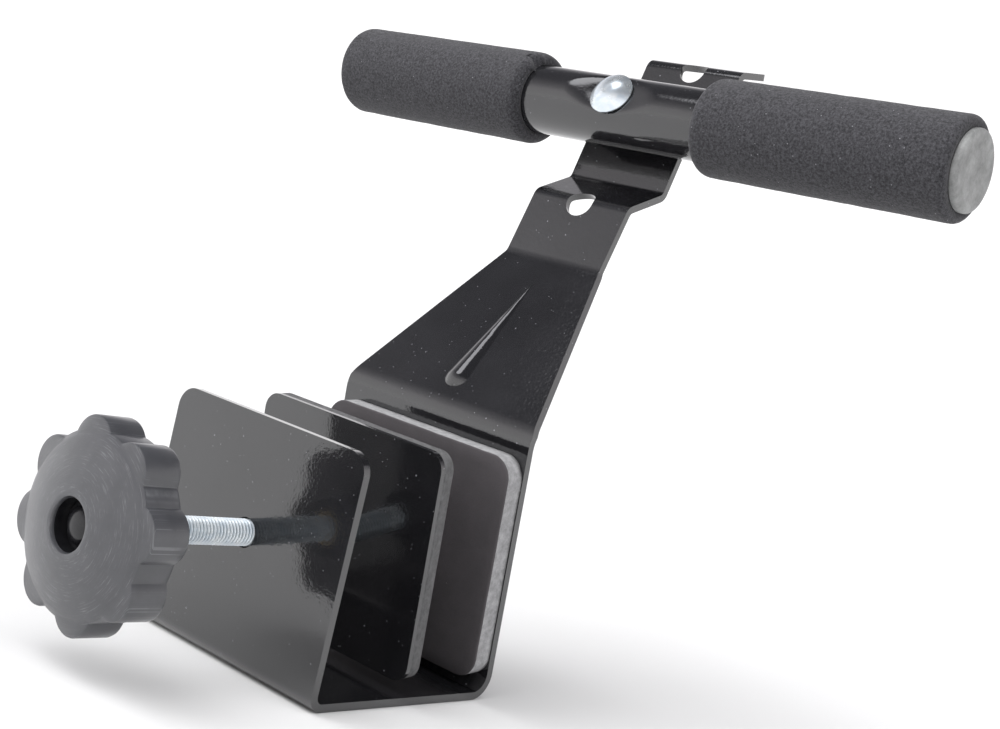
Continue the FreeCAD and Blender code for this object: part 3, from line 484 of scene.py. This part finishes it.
def sleeve(name, inner_x, outer_x, outer_radius, bore_radius, torn):
    """A foam sleeve as one turned skin, from its bore out over the end and back."""
    way = 1 if outer_x > inner_x else -1
    length = abs(outer_x - inner_x)
    straight = length - GRIP_INNER_ROUND - GRIP_OUTER_ROUND
    profile = [(0.0, bore_radius)]
    inner_end, outer_end = rounded_over(GRIP_INNER_ROUND, 8), rounded_over(GRIP_OUTER_ROUND, 6)
    profile += [(along, outer_radius - inward) for along, inward in reversed(inner_end)]
    profile += [(GRIP_INNER_ROUND + straight * number / GRIP_RINGS, outer_radius)
                for number in range(1, GRIP_RINGS)]
    profile += [(length - along, outer_radius - inward) for along, inward in outer_end]
    profile.append((length, bore_radius))
    mesh = bmesh.new()
    rings = []
    for along, radius in profile:
        in_bore = radius <= bore_radius
        ring = []
        for number in range(GRIP_AROUND):
            angle = 2 * math.pi * number / GRIP_AROUND
            spoke = Vector((0, math.cos(angle), math.sin(angle)))
            place = Vector((inner_x + way * along, 0, 0)) + spoke * radius
            lump = noise.noise(place * LUMPS_PER_METRE) * LUMP_DEPTH
            pit = noise.noise(place * PITS_PER_METRE) * PIT_DEPTH
            sunk = 0.0 if in_bore else abs(lump + pit)
            setback = tear_setback(angle) if torn and along < TEAR_REACH and not in_bore else 0.0
            ring.append(mesh.verts.new(bar_centre + place - spoke * sunk + Vector((way * setback, 0, 0))))
        rings.append(ring)
    for left, right in zip(rings, rings[1:]):
        join_rings(mesh, left, right)
    join_rings(mesh, rings[-1], rings[0])
    return finish_mesh(mesh, name)


grip_foam = sleeve_foam("grip_foam")
for side, way in (("left", -1), ("right", 1)):
    low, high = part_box(side + "_grip")
    inner_x, outer_x = (high.x, low.x) if way < 0 else (low.x, high.x)
    grip = sleeve(side + "_grip_foam", inner_x, outer_x, (high.z - low.z) / 2, TUBE_RADIUS + BORE_CLEARANCE,
                  torn=side == "left")
    coat(grip, grip_foam)
    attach(grip, "root")
    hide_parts(side + "_grip")

# ---------------------------------------------------------------------------------------------------------
# End caps.  Moulded plugs pushed into the tube's ends; the flange covers the tube's rim and stands a little
# proud of the foam, where floors and feet have rubbed its face paler.

CAP_GREY = (0.12, 0.122, 0.121, 1.0)
CAP_SCUFFED = (0.28, 0.285, 0.282, 1.0)
CAP_FLANGE, CAP_PLUG_LENGTH, CAP_PLUG_LEAD = 0.003, 0.012, 0.0010
CAP_AROUND = 96


def rubbed_plastic(name, dark, scuffed):
    """Satin moulded plastic, scuffed paler in clouds over a fine grain."""
    material, tree, shader, point = new_material(name)
    cloud = grain(tree, point, 130.0, detail=6.0, rough=0.7)
    fine = grain(tree, point, 1900.0)
    colour = ramp(tree, cloud, (0.35, dark), (0.70, scuffed))
    tree.links.new(colour, shader.inputs["Base Color"])
    tree.links.new(level(tree, fine, low=0.34, high=0.55), shader.inputs["Roughness"])
    shader.inputs["IOR"].default_value = 1.5
    bump(tree, shader, (cloud, 0.00006), (fine, 0.000018))
    return material


def turned_ring(mesh, radius, height, around, place_point):
    """One ring of corners; place_point puts a (x, y, height) point of the turned piece in place."""
    angles = [2 * math.pi * number / around for number in range(around)]
    return [mesh.verts.new(place_point(radius * math.cos(angle), radius * math.sin(angle), height))
            for angle in angles]


def turned_piece(name, profile, around, place_point):
    """A turned solid from (radius, height) pairs, the first and last of them on its axis."""
    mesh = bmesh.new()
    (_, foot), (_, crown) = profile[0], profile[-1]
    rings = [turned_ring(mesh, radius, height, around, place_point) for radius, height in profile[1:-1]]
    for lower, upper in zip(rings, rings[1:]):
        join_rings(mesh, lower, upper)
    for rim, height in ((rings[0], foot), (rings[-1], crown)):
        middle = mesh.verts.new(place_point(0.0, 0.0, height))
        for number in range(around):
            mesh.faces.new((middle, rim[number], rim[(number + 1) % around])).smooth = True
    return finish_mesh(mesh, name)


def crease(thing, angle=30.0):
    """Smooth shading that breaks at edges sharper than an angle."""
    thing.data.set_sharp_from_angle(angle=math.radians(angle))


cap_plastic = rubbed_plastic("end_cap_plastic", CAP_GREY, CAP_SCUFFED)
for side, way in (("left", -1), ("right", 1)):
    low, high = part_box(side + "_end_cap")
    rim = (high.z - low.z) / 2
    plug = TUBE_RADIUS - TUBE_WALL - BORE_CLEARANCE
    root_x = high.x - CAP_FLANGE if way > 0 else low.x + CAP_FLANGE
    plug_outline = [(0.0, -CAP_PLUG_LENGTH), (plug - CAP_PLUG_LEAD, -CAP_PLUG_LENGTH),
                    (plug, CAP_PLUG_LEAD - CAP_PLUG_LENGTH), (plug, -0.0002), (plug, 0.0)]
    rim_outline = [(rim - 0.0003, 0.0), (rim, 0.0003), (rim, CAP_FLANGE - 0.0011),
                   (rim - 0.0001, CAP_FLANGE - 0.0008), (rim - 0.0004, CAP_FLANGE - 0.0004),
                   (rim - 0.0010, CAP_FLANGE - 0.0001), (rim - 0.0014, CAP_FLANGE)]
    face_outline = [(rim - 0.0030, CAP_FLANGE), (rim * 0.6, CAP_FLANGE - 0.0001),
                    (rim * 0.3, CAP_FLANGE - 0.00015), (0.0, CAP_FLANGE - 0.00015)]

    cap_outline = plug_outline + rim_outline + face_outline

    def on_tube_end(back, up, lift):
        """A point off the tube's axis, lifted outwards from the tube's end."""
        return Vector((root_x + way * lift, bar_centre.y + back, bar_centre.z + up))

    cap = turned_piece(side + "_end_cap_worn", cap_outline, CAP_AROUND, on_tube_end)
    crease(cap)
    coat(cap, cap_plastic)
    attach(cap, "root")
    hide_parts(side + "_end_cap")

# ---------------------------------------------------------------------------------------------------------
# Bar bolt.  A cold-headed M8 bolt with a wide mushroom head and a rolled thread, bright zinc plated, through
# the tube's dent and the middle crest of the arm.

ZINC = (0.82, 0.87, 0.90, 1.0)
ZINC_BLUE = (0.68, 0.76, 0.83, 1.0)
FASTENER_METAL = 0.85
BOLT_RADIUS, BOLT_LENGTH, BOLT_PITCH = 0.00395, 0.050, 0.00125
BOLT_HEAD, BOLT_DOME, BOLT_RIM, BOLT_CROWN = 0.00975, 0.0045, 0.0008, 0.0026
BOLT_THREAD_START, BOLT_TAIL, BOLT_RUN_OUT = 0.022, 0.0008, 0.0015
BOLT_AROUND, BOLT_RINGS_PER_TURN, DOME_RINGS = 40, 10, 12
CROWN_RISE = 0.00003
AXIS_HOLE = 0.0001
THREAD_DEPTH_SHARE = 0.61


def zinc_plate(name, metallic):
    """Bright zinc with a clear bluish passivation, slightly uneven, which hazes its shine."""
    material, tree, shader, point = new_material(name)
    cloud = grain(tree, point, 220.0, detail=4.0, rough=0.6)
    fine = grain(tree, point, 2600.0)
    tree.links.new(ramp(tree, cloud, (0.36, ZINC_BLUE), (0.60, ZINC)), shader.inputs["Base Color"])
    shader.inputs["Metallic"].default_value = metallic
    tree.links.new(level(tree, cloud, low=0.16, high=0.34), shader.inputs["Roughness"])
    bump(tree, shader, (cloud, 0.00003), (fine, 0.000006))
    return material


def thread_radius(crest, pitch, height, angle, depth):
    """Radius of a right-hand thread at a height along it and an angle round it."""
    phase = (height / pitch - angle / (2 * math.pi)) % 1.0
    slope = abs(2 * phase - 1)
    return crest - depth * max(0.0, min(1.0, 1.25 * slope - 0.125))


def threaded_rings(mesh, heights, around, crest, pitch, place_point, threaded):
    """Rings of a rod whose thread dies out where threaded(height) falls to 0."""
    full_depth = pitch * THREAD_DEPTH_SHARE
    rings = []
    for height in heights:
        ring = []
        for number in range(around):
            angle = 2 * math.pi * number / around
            radius = thread_radius(crest, pitch, height, angle, full_depth * threaded(height))
            x, y = radius * math.cos(angle), radius * math.sin(angle)
            ring.append(mesh.verts.new(place_point(x, y, height)))
        rings.append(ring)
    return rings


def close_rod(mesh, rings, name):
    """Joins a rod's rings from end to end and closes both ends."""
    for lower, upper in zip(rings, rings[1:]):
        join_rings(mesh, lower, upper)
    mesh.faces.new(rings[0])
    mesh.faces.new(rings[-1])
    return finish_mesh(mesh, name)


bolt_tip = max((vertex.co for vertex in nodes["bar_bolt"].data.vertices), key=lambda at: -at.dot(bolt_out))
head_seat = bar_centre + bolt_out * ((bolt_tip - bar_centre).dot(bolt_out) + BOLT_LENGTH)


def on_bolt(across, side, lift):
    """A point on the bolt's own axes, lifted from the underside of its head."""
    return head_seat + Vector((across, 0, 0)) + bolt_side * side + bolt_out * lift


def bolt_thread_share(height):
    """1 along the bolt's thread, falling to 0 where it runs out below the head."""
    return min(1.0, max(0.0, (-height - BOLT_THREAD_START) / BOLT_RUN_OUT))


mesh = bmesh.new()
ring_step = BOLT_PITCH / BOLT_RINGS_PER_TURN
ring_count = int((BOLT_LENGTH - BOLT_THREAD_START - BOLT_TAIL) / ring_step) + 1
thread_heights = [-BOLT_LENGTH + BOLT_TAIL + number * ring_step for number in range(ring_count)]
dome_height = BOLT_DOME - BOLT_RIM
dome_round = (BOLT_HEAD ** 2 + dome_height ** 2) / (2 * dome_height)


def head_height(radius):
    """Height of the mushroom head's dome at a distance from the bolt's axis."""
    return BOLT_RIM + math.sqrt(dome_round ** 2 - radius ** 2) - (dome_round - dome_height)


dome_radii = [BOLT_HEAD - (BOLT_HEAD - BOLT_CROWN) * step / DOME_RINGS for step in range(1, DOME_RINGS + 1)]
crown = head_height(BOLT_CROWN) + CROWN_RISE
tail_outline = [(AXIS_HOLE, -BOLT_LENGTH), (BOLT_RADIUS - 0.0010, -BOLT_LENGTH)]
neck_outline = [(BOLT_RADIUS, -0.0005), (BOLT_RADIUS + 0.0003, 0.0), (BOLT_HEAD - 0.0003, 0.0),
                (BOLT_HEAD, 0.0003), (BOLT_HEAD, BOLT_RIM)]
dome_outline = [(radius, head_height(radius)) for radius in dome_radii]
crown_outline = [(0.0024, crown), (0.0012, crown), (AXIS_HOLE, crown)]
tail_rings = [turned_ring(mesh, radius, height, BOLT_AROUND, on_bolt) for radius, height in tail_outline]
thread_rings = threaded_rings(mesh, thread_heights, BOLT_AROUND, BOLT_RADIUS, BOLT_PITCH, on_bolt,
                              bolt_thread_share)
head_rings = [turned_ring(mesh, radius, height, BOLT_AROUND, on_bolt)
              for radius, height in neck_outline + dome_outline + crown_outline]
bolt = close_rod(mesh, tail_rings + thread_rings + head_rings, "bar_bolt_zinc")
crease(bolt, 40.0)
zinc = zinc_plate("zinc_plate", FASTENER_METAL)
coat(bolt, zinc)
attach(bolt, "root")
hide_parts("bar_bolt")

# ---------------------------------------------------------------------------------------------------------
# Saddle, washers and nut.  Behind the crest a wedge-shaped saddle gives a flat seat; then a flat washer, a
# split spring washer and a hexagonal nut, all zinc plated.

THIN_EDGE, NUT_EDGE = 0.0002, 0.0004

for name, edge in (("saddle_washer", SMALL_PART_EDGE), ("bar_flat_washer", THIN_EDGE),
                   ("bar_lock_washer", THIN_EDGE), ("bar_nut", NUT_EDGE)):
    coat(nodes[name], zinc)
    soften_edges(nodes[name], edge, segments=2)

# ---------------------------------------------------------------------------------------------------------
# Hand screw.  M10 studding, zinc plated, with its thread roots painted dark as painted shade.  It is cut to
# length with a chamfer, its tip turned down to 6 mm to carry the plate, with a thrust washer at the shoulder
# and a clip behind the plate.

SCREW_PITCH = 0.0015
SCREW_METAL = 0.45
SCREW_AROUND, SCREW_RINGS_PER_TURN = 48, 11
SCREW_CHAMFER, SCREW_RUN_OUT = 0.001, 0.002
TIP_RADIUS, TIP_LENGTH, TIP_CHAMFER = 0.003, 0.0075, 0.0005
EASED_CORNER = 0.0002
# Colour painted into the thread roots: painted shade.
THREAD_ROOT_PAINTED_SHADE = (0.17, 0.21, 0.23, 1.0)
BLACK, WHITE = (0.0, 0.0, 0.0, 1.0), (1.0, 1.0, 1.0, 1.0)

screw_low, screw_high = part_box("clamp_screw")
screw_radius = (screw_high.x - screw_low.x) / 2
screw_z = (screw_low.z + screw_high.z) / 2
shank = (screw_high.y - screw_low.y) - TIP_LENGTH


def from_screw_axis(tree, point):
    """A point's offsets sideways and upwards from the hand screw's axis, and its distance from it."""
    split = tree.nodes.new("ShaderNodeSeparateXYZ")
    tree.links.new(point, split.inputs["Vector"])
    sideways = split.outputs["X"]
    upwards = math_node(tree, "SUBTRACT", split.outputs["Z"], screw_z)
    squares = math_node(tree, "ADD", math_node(tree, "MULTIPLY", sideways, sideways),
                        math_node(tree, "MULTIPLY", upwards, upwards))
    return sideways, upwards, math_node(tree, "SQRT", squares)


def paint_shade_in_roots(material, root, crest):
    """Paints shade on a thread round the hand screw's axis: crests keep the plating, roots go dark."""
    tree = material.node_tree
    base_colour = tree.nodes["Principled BSDF"].inputs["Base Color"]
    plating = base_colour.links[0].from_socket
    radius = from_screw_axis(tree, tree.nodes.new("ShaderNodeTexCoord").outputs["Object"])[2]
    share = math_node(tree, "DIVIDE", math_node(tree, "SUBTRACT", radius, root), crest - root)
    # Painted shade, darkest in the thread roots and gone towards the crests.
    height = ramp(tree, share, (0.05, BLACK), (0.60, WHITE))
    tree.links.new(mix_colour(tree, height, THREAD_ROOT_PAINTED_SHADE, plating), base_colour)


def on_screw(across, up, lift):
    """A point on the hand screw's axes, with lift measured from its end inside the knob."""
    return Vector((across, screw_low.y + lift, screw_z + up))


def screw_thread_share(height):
    """1 along the hand screw's thread, falling off towards its chamfered end and its shoulder."""
    return min(1.0, (height - EASED_CORNER) / SCREW_RUN_OUT, (shank + EASED_CORNER - height) / SCREW_RUN_OUT)


mesh = bmesh.new()
threaded_length = shank - 2 * SCREW_CHAMFER
ring_count = int(threaded_length / (SCREW_PITCH / SCREW_RINGS_PER_TURN))
thread_heights = [SCREW_CHAMFER + number * threaded_length / ring_count for number in range(ring_count + 1)]
tip_outline = [(screw_radius - SCREW_CHAMFER, shank), (TIP_RADIUS + EASED_CORNER, shank),
               (TIP_RADIUS, shank + EASED_CORNER), (TIP_RADIUS, shank + TIP_LENGTH - TIP_CHAMFER),
               (TIP_RADIUS - TIP_CHAMFER, shank + TIP_LENGTH)]
end_ring = turned_ring(mesh, screw_radius - SCREW_CHAMFER, 0.0, SCREW_AROUND, on_screw)
thread_rings = threaded_rings(mesh, thread_heights, SCREW_AROUND, screw_radius, SCREW_PITCH, on_screw,
                              screw_thread_share)
tip_rings = [turned_ring(mesh, radius, height, SCREW_AROUND, on_screw) for radius, height in tip_outline]
screw = close_rod(mesh, [end_ring] + thread_rings + tip_rings, "clamp_screw_thread")
crease(screw, 50.0)
thread_zinc_with_painted_shade = zinc_plate("zinc_thread_painted_root_shade", SCREW_METAL)
# The screw's thread roots get painted shade.
paint_shade_in_roots(thread_zinc_with_painted_shade, screw_radius - SCREW_PITCH * THREAD_DEPTH_SHARE, screw_radius)
coat(screw, thread_zinc_with_painted_shade)
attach(screw, "spindle")
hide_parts("clamp_screw")
for name in ("thrust_washer", "tip_clip"):
    coat(nodes[name], zinc)
    soften_edges(nodes[name], THIN_EDGE, segments=2)

# ---------------------------------------------------------------------------------------------------------
# Knob.  A compression-moulded eight-lobed knob.  The lobed rim has a flat front with a small chamfer, and a
# shallow dome stands on it with a glossy black recess in its middle.  Handling has left curved scratches.

KNOB_GREY = (0.040, 0.041, 0.046, 1.0)
KNOB_CLOUDED = (0.056, 0.057, 0.063, 1.0)
KNOB_PALE = (0.105, 0.107, 0.114, 1.0)
GLOSS_BLACK = (0.006, 0.006, 0.007, 1.0)
GLOSS_SMEARED = (0.016, 0.016, 0.018, 1.0)
DISC_RADIUS, LOBE_RADIUS, LOBE_CIRCLE, LOBES = 0.0315, 0.0095, 0.0265, 8
LOBE_TURN = math.radians(-11.4)
RIM_HEIGHT, DOME_HEIGHT = 0.0145, 0.021
HUB_LENGTH, HUB_BORE, HUB_BORE_DEPTH = 0.015, 0.0065, 0.008
RECESS_RADIUS, RECESS_FLOOR, RECESS_BRINK = 0.00875, 0.013, 0.0012
KNOB_AROUND, KNOB_DOME_RINGS = LOBES * 36, 21
SCRATCHES_PER_METRE, SCRATCH_LENGTHS = 2600.0, 2.6
BODY_INDEX, GLOSS_INDEX = 0, 1

knob_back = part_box("knob")[1].y - HUB_LENGTH


def moulded_plastic(name):
    """Satin grey plastic, with scratches that curve round the knob's axis."""
    material, tree, shader, point = new_material(name)
    sideways, upwards, radius = from_screw_axis(tree, point)
    angle = math_node(tree, "ARCTAN2", upwards, sideways)
    polar = tree.nodes.new("ShaderNodeCombineXYZ")
    tree.links.new(math_node(tree, "MULTIPLY", radius, SCRATCHES_PER_METRE), polar.inputs["X"])
    tree.links.new(math_node(tree, "MULTIPLY", angle, SCRATCH_LENGTHS), polar.inputs["Y"])
    scratches = grain(tree, polar.outputs["Vector"], 1.0, detail=3.0, rough=0.7)
    cloud = grain(tree, point, 90.0, detail=5.0, rough=0.6)
    pitting = grain(tree, point, 1500.0)
    fine_lines = ramp(tree, scratches, (0.56, BLACK), (0.64, WHITE))
    patchy = ramp(tree, cloud, (0.38, BLACK), (0.58, WHITE))
    worn = math_node(tree, "MULTIPLY", fine_lines, patchy)
    base = ramp(tree, cloud, (0.3, KNOB_GREY), (0.8, KNOB_CLOUDED))
    tree.links.new(mix_colour(tree, worn, base, KNOB_PALE), shader.inputs["Base Color"])
    tree.links.new(level(tree, scratches, low=0.30, high=0.42), shader.inputs["Roughness"])
    shader.inputs["IOR"].default_value = 1.5
    shader.inputs["Coat Weight"].default_value = 0.55
    shader.inputs["Coat Roughness"].default_value = 0.22
    bump(tree, shader, (scratches, 0.000035), (pitting, 0.000012))
    return material


def glossy_plastic(name):
    """Shiny black plastic, faintly smeared by handling."""
    material, tree, shader, point = new_material(name)
    smear = grain(tree, point, 300.0, detail=4.0)
    tree.links.new(ramp(tree, smear, (0.3, GLOSS_BLACK), (0.8, GLOSS_SMEARED)), shader.inputs["Base Color"])
    tree.links.new(level(tree, smear, low=0.10, high=0.26), shader.inputs["Roughness"])
    bump(tree, shader, (smear, 0.00008))
    return material


def lobed_radius(angle):
    """Distance from the axis to the knob's outline at an angle."""
    pitch = 2 * math.pi / LOBES
    from_lobe = (angle - LOBE_TURN + pitch / 2) % pitch - pitch / 2
    under_root = LOBE_RADIUS ** 2 - (LOBE_CIRCLE * math.sin(from_lobe)) ** 2
    reach = LOBE_CIRCLE * math.cos(from_lobe) + math.sqrt(under_root) if under_root > 0 else 0.0
    return max(DISC_RADIUS, reach)


def knob_mesh(name):
    """The knob as one closed skin: bore, hub, back, lobed side, chamfer, rim, dome and recess."""
    dome_rise = DOME_HEIGHT - RIM_HEIGHT
    dome_round = (DISC_RADIUS ** 2 + dome_rise ** 2) / (2 * dome_rise)
    dome_centre = DOME_HEIGHT - dome_round
    dome_foot = DISC_RADIUS - 0.0010
    hub = [(HUB_BORE, -HUB_LENGTH), (0.0114, -HUB_LENGTH), (0.012, -HUB_LENGTH + 0.0006),
           (0.0128, -0.0040), (0.0135, -0.0012), (0.0150, 0.0), (0.0285, 0.0)]
    lobed_side = [(-0.0012, 0.0), (-0.0003, 0.0003), (0.0, 0.0012), (0.0, RIM_HEIGHT * 0.5),
                  (0.0, RIM_HEIGHT - 0.0008), (-0.0002, RIM_HEIGHT - 0.0003), (-0.0007, RIM_HEIGHT)]
    dome = [(dome_foot, RIM_HEIGHT + 0.0002)]
    for step in range(1, KNOB_DOME_RINGS + 1):
        radius = dome_foot - (dome_foot - RECESS_RADIUS - RECESS_BRINK) * step / KNOB_DOME_RINGS
        dome.append((radius, dome_centre + math.sqrt(dome_round ** 2 - radius ** 2)))
    brink = dome[-1][1]
    brink_round = [(RECESS_RADIUS + 0.0005, brink - 0.0002), (RECESS_RADIUS + 0.0001, brink - 0.0008)]
    recess = [(RECESS_RADIUS, brink - 0.0016), (RECESS_RADIUS, RECESS_FLOOR + 0.0005),
              (RECESS_RADIUS - 0.0005, RECESS_FLOOR), (AXIS_HOLE, RECESS_FLOOR)]
    rows = [(radius, lift, False) for radius, lift in hub]
    rows += [(beyond, lift, True) for beyond, lift in lobed_side]
    rows += [(radius, lift, False) for radius, lift in dome + brink_round + recess]
    mesh = bmesh.new()
    angles = [2 * math.pi * number / KNOB_AROUND for number in range(KNOB_AROUND)]

    def knob_ring(reaches, lift):
        return [mesh.verts.new((reach * math.sin(angle), knob_back - lift, screw_z + reach * math.cos(angle)))
                for angle, reach in zip(angles, reaches)]

    rings = [knob_ring([radius + (lobed_radius(angle) if lobed else 0.0) for angle in angles], lift)
             for radius, lift, lobed in rows]
    recess_start = len(rings) - len(recess)
    for number, (lower, upper) in enumerate(zip(rings, rings[1:])):
        join_rings(mesh, lower, upper, GLOSS_INDEX if number >= recess_start else BODY_INDEX)
    mesh.faces.new(rings[-1]).material_index = GLOSS_INDEX
    bore_floor = knob_ring([HUB_BORE] * KNOB_AROUND, HUB_BORE_DEPTH)
    join_rings(mesh, rings[0], bore_floor)
    mesh.faces.new(bore_floor)
    return finish_mesh(mesh, name)


knob = knob_mesh("knob_moulded")
crease(knob, 32.0)
black_plastic = glossy_plastic("cap_plastic")
coat(knob, moulded_plastic("knob_plastic"), black_plastic)
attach(knob, "spindle")
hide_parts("knob")

# ---------------------------------------------------------------------------------------------------------
# Knob insert.  A turned brass bush, threaded for the screw and moulded into the knob's hub, where it is
# out of sight.

BRASS_DULL = (0.55, 0.40, 0.17, 1.0)
BRASS_BRIGHT = (0.72, 0.55, 0.26, 1.0)


def turned_brass(name):
    """Machined brass, slightly dulled."""
    material, tree, shader, point = new_material(name)
    dulling = grain(tree, point, 900.0, detail=3.0)
    tree.links.new(ramp(tree, dulling, (0.3, BRASS_DULL), (0.7, BRASS_BRIGHT)), shader.inputs["Base Color"])
    shader.inputs["Metallic"].default_value = 1.0
    tree.links.new(level(tree, dulling, low=0.25, high=0.40), shader.inputs["Roughness"])
    bump(tree, shader, (dulling, 0.00001))
    return material


coat(nodes["knob_insert"], turned_brass("insert_brass"))
soften_edges(nodes["knob_insert"], THIN_EDGE, segments=2)

# ---------------------------------------------------------------------------------------------------------
# Knob cap.  A glossy black domed button pressed into the recess over the end of the screw, with a thin
# moulding flash round it.

BUTTON_FOOT, BUTTON_INSET = 0.0016, 0.0024
BUTTON_RINGS, BUTTON_AROUND = 14, 72

cap_low, cap_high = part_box("knob_cap")
cap_radius = (cap_high.x - cap_low.x) / 2
button_radius = cap_radius - BUTTON_INSET
button_rise = cap_high.y - cap_low.y - BUTTON_FOOT
flash = [(0.0, 0.0), (cap_radius - 0.0004, 0.0), (cap_radius, 0.0004), (cap_radius, 0.0010),
         (cap_radius - 0.0006, 0.0013), (cap_radius - 0.0016, 0.0012), (cap_radius - 0.0022, BUTTON_FOOT)]
turns = [math.pi / 2 * step / BUTTON_RINGS for step in range(1, BUTTON_RINGS)]
button = [(button_radius * math.cos(turn), BUTTON_FOOT + button_rise * math.sin(turn)) for turn in turns]
button.append((0.0, BUTTON_FOOT + button_rise))


def on_knob_front(across, up, lift):
    """A point off the knob's axis, lifted towards the hand from the cap's back."""
    return Vector((across, cap_high.y - lift, screw_z + up))


knob_cap = turned_piece("knob_cap_button", flash + button, BUTTON_AROUND, on_knob_front)
crease(knob_cap, 40.0)
coat(knob_cap, black_plastic)
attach(knob_cap, "spindle")
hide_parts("knob_cap")

# ---------------------------------------------------------------------------------------------------------
# Pressure plate and its pad.  A steel plate, enamelled, that swivels on the screw's tip; a thinner pad of the
# same foam rubber is glued to its far side.

# The thin pad's cut sides, of the same foam, are painted darker than the fixed pad's: painted shade.
MOVING_PAD_PAINTED_SHADE = 0.50
MOVING_PAD_SIZE = (0.096, 0.087, 0.005)
MOVING_PAD_CORNER = 0.007
MOVING_PAD_ARRIS = PAD_ARRIS * 0.8
MOVING_PAD_RIPPLE = 0.00015
MOVING_PAD_DROP = 0.0018

plate = nodes["pressure_plate"]
coat(plate, enamel)
soften_edges(plate, SMALL_PART_EDGE)
moving_face = mounts["moving_jaw_face"]
moving_pad = foam_pad("moving_pad_foam", MOVING_PAD_SIZE, MOVING_PAD_CORNER, MOVING_PAD_ARRIS,
                      MOVING_PAD_RIPPLE)
moving_pad.data.transform(face_along(moving_face["pos_m"], moving_face["axis"])
                          @ Matrix.Translation((0, -MOVING_PAD_DROP, 0)))
# Its cut sides get painted shade.
coat(moving_pad, skin, foam_cut("thin_jaw_foam_cut_painted_shade", MOVING_PAD_PAINTED_SHADE))
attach(moving_pad, "jaw_plate")
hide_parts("moving_pad")

# ---------------------------------------------------------------------------------------------------------
# Stage.  A pale matt floor without an edge in sight, and a tent, white round the horizon, whose dark roof
# holds one round lamp that gives curved surfaces their highlights.  Two broad soft suns stand for large
# diffused lamps; they light the pieces but are not mirrored in them.

FLOOR_GREY = (0.66, 0.66, 0.66, 1.0)
FLOOR_PALE = (0.67, 0.67, 0.67, 1.0)
FLOOR_REACH, FLOOR_DROP = 60.0, 0.0002
TENT_STRENGTH = 1.25
TENT_BANDS = ((0.0, (1.0, 1.0, 1.0, 1.0)), (0.36, (0.82, 0.80, 0.82, 1.0)),
              (0.50, (0.46, 0.45, 0.47, 1.0)), (0.62, (0.26, 0.255, 0.27, 1.0)),
              (0.72, (0.10, 0.10, 0.11, 1.0)), (1.0, (0.05, 0.05, 0.055, 1.0)))
LAMP_TOWARDS = (-0.40, -0.45, 1.00)
LAMP_EDGE, LAMP_CORE = 0.965, 0.980
LAMP_COLOUR = (2.2, 2.2, 2.3, 1.0)
SUNS = (("key_sun", (-0.45, -0.55, 0.75), 3.6), ("fill_sun", (0.6, -0.1, 0.8), 1.6))
SUN_SPREAD = math.radians(70.0)
LENS_MM, SENSOR_MM = 55.05, 36.0
CAMERA_AT = (0.39260, -0.42646, 0.16050)
CAMERA_AHEAD, CAMERA_UP = (-0.62258, 0.78044, -0.05757), (-0.23573, -0.11689, 0.96476)

mesh = bmesh.new()
corners = [(-FLOOR_REACH, -FLOOR_REACH), (FLOOR_REACH, -FLOOR_REACH), (FLOOR_REACH, FLOOR_REACH),
           (-FLOOR_REACH, FLOOR_REACH)]
mesh.faces.new([mesh.verts.new((x, y, -FLOOR_DROP)) for x, y in corners])
floor = finish_mesh(mesh, "floor")
floor_paper, tree, shader, point = new_material("floor_paper")
paper = grain(tree, point, 8.0, detail=3.0)
tree.links.new(ramp(tree, paper, (0.2, FLOOR_GREY), (0.8, FLOOR_PALE)), shader.inputs["Base Color"])
shader.inputs["Roughness"].default_value = 1.0
shader.inputs["Specular IOR Level"].default_value = 0.1
coat(floor, floor_paper)

world = bpy.data.worlds.new("tent")
bpy.context.scene.world = world
world.use_nodes = True
tree = world.node_tree
background = tree.nodes["Background"]
background.inputs["Strength"].default_value = TENT_STRENGTH
direction = tree.nodes.new("ShaderNodeTexCoord").outputs["Generated"]
split = tree.nodes.new("ShaderNodeSeparateXYZ")
tree.links.new(direction, split.inputs["Vector"])
roof = ramp(tree, split.outputs["Z"], *TENT_BANDS)
facing = tree.nodes.new("ShaderNodeVectorMath")
facing.operation = "DOT_PRODUCT"
facing.inputs[1].default_value = Vector(LAMP_TOWARDS).normalized()
tree.links.new(direction, facing.inputs[0])
glow = ramp(tree, facing.outputs["Value"], (LAMP_EDGE, BLACK), (LAMP_CORE, WHITE))
tree.links.new(mix_colour(tree, glow, roof, LAMP_COLOUR), background.inputs["Color"])

for name, towards, strength in SUNS:
    sun_data = bpy.data.lights.new(name, "SUN")
    sun_data.energy = strength
    sun_data.angle = SUN_SPREAD
    sun = bpy.data.objects.new(name, sun_data)
    sun.rotation_euler = Vector(towards).to_track_quat("Z", "Y").to_euler()
    sun.visible_glossy = False
    bpy.context.scene.collection.objects.link(sun)

camera_data = bpy.data.cameras.new("camera")
camera_data.lens = LENS_MM
camera_data.sensor_width = SENSOR_MM
camera = bpy.data.objects.new("camera", camera_data)
ahead = Vector(CAMERA_AHEAD).normalized()
right = ahead.cross(Vector(CAMERA_UP)).normalized()
head_up = right.cross(ahead)
facing_turn = Matrix((right, head_up, -ahead)).transposed().to_4x4()
camera.matrix_world = Matrix.Translation(CAMERA_AT) @ facing_turn
bpy.context.scene.collection.objects.link(camera)
bpy.context.scene.camera = camera
bpy.context.scene.view_settings.view_transform = "Standard"
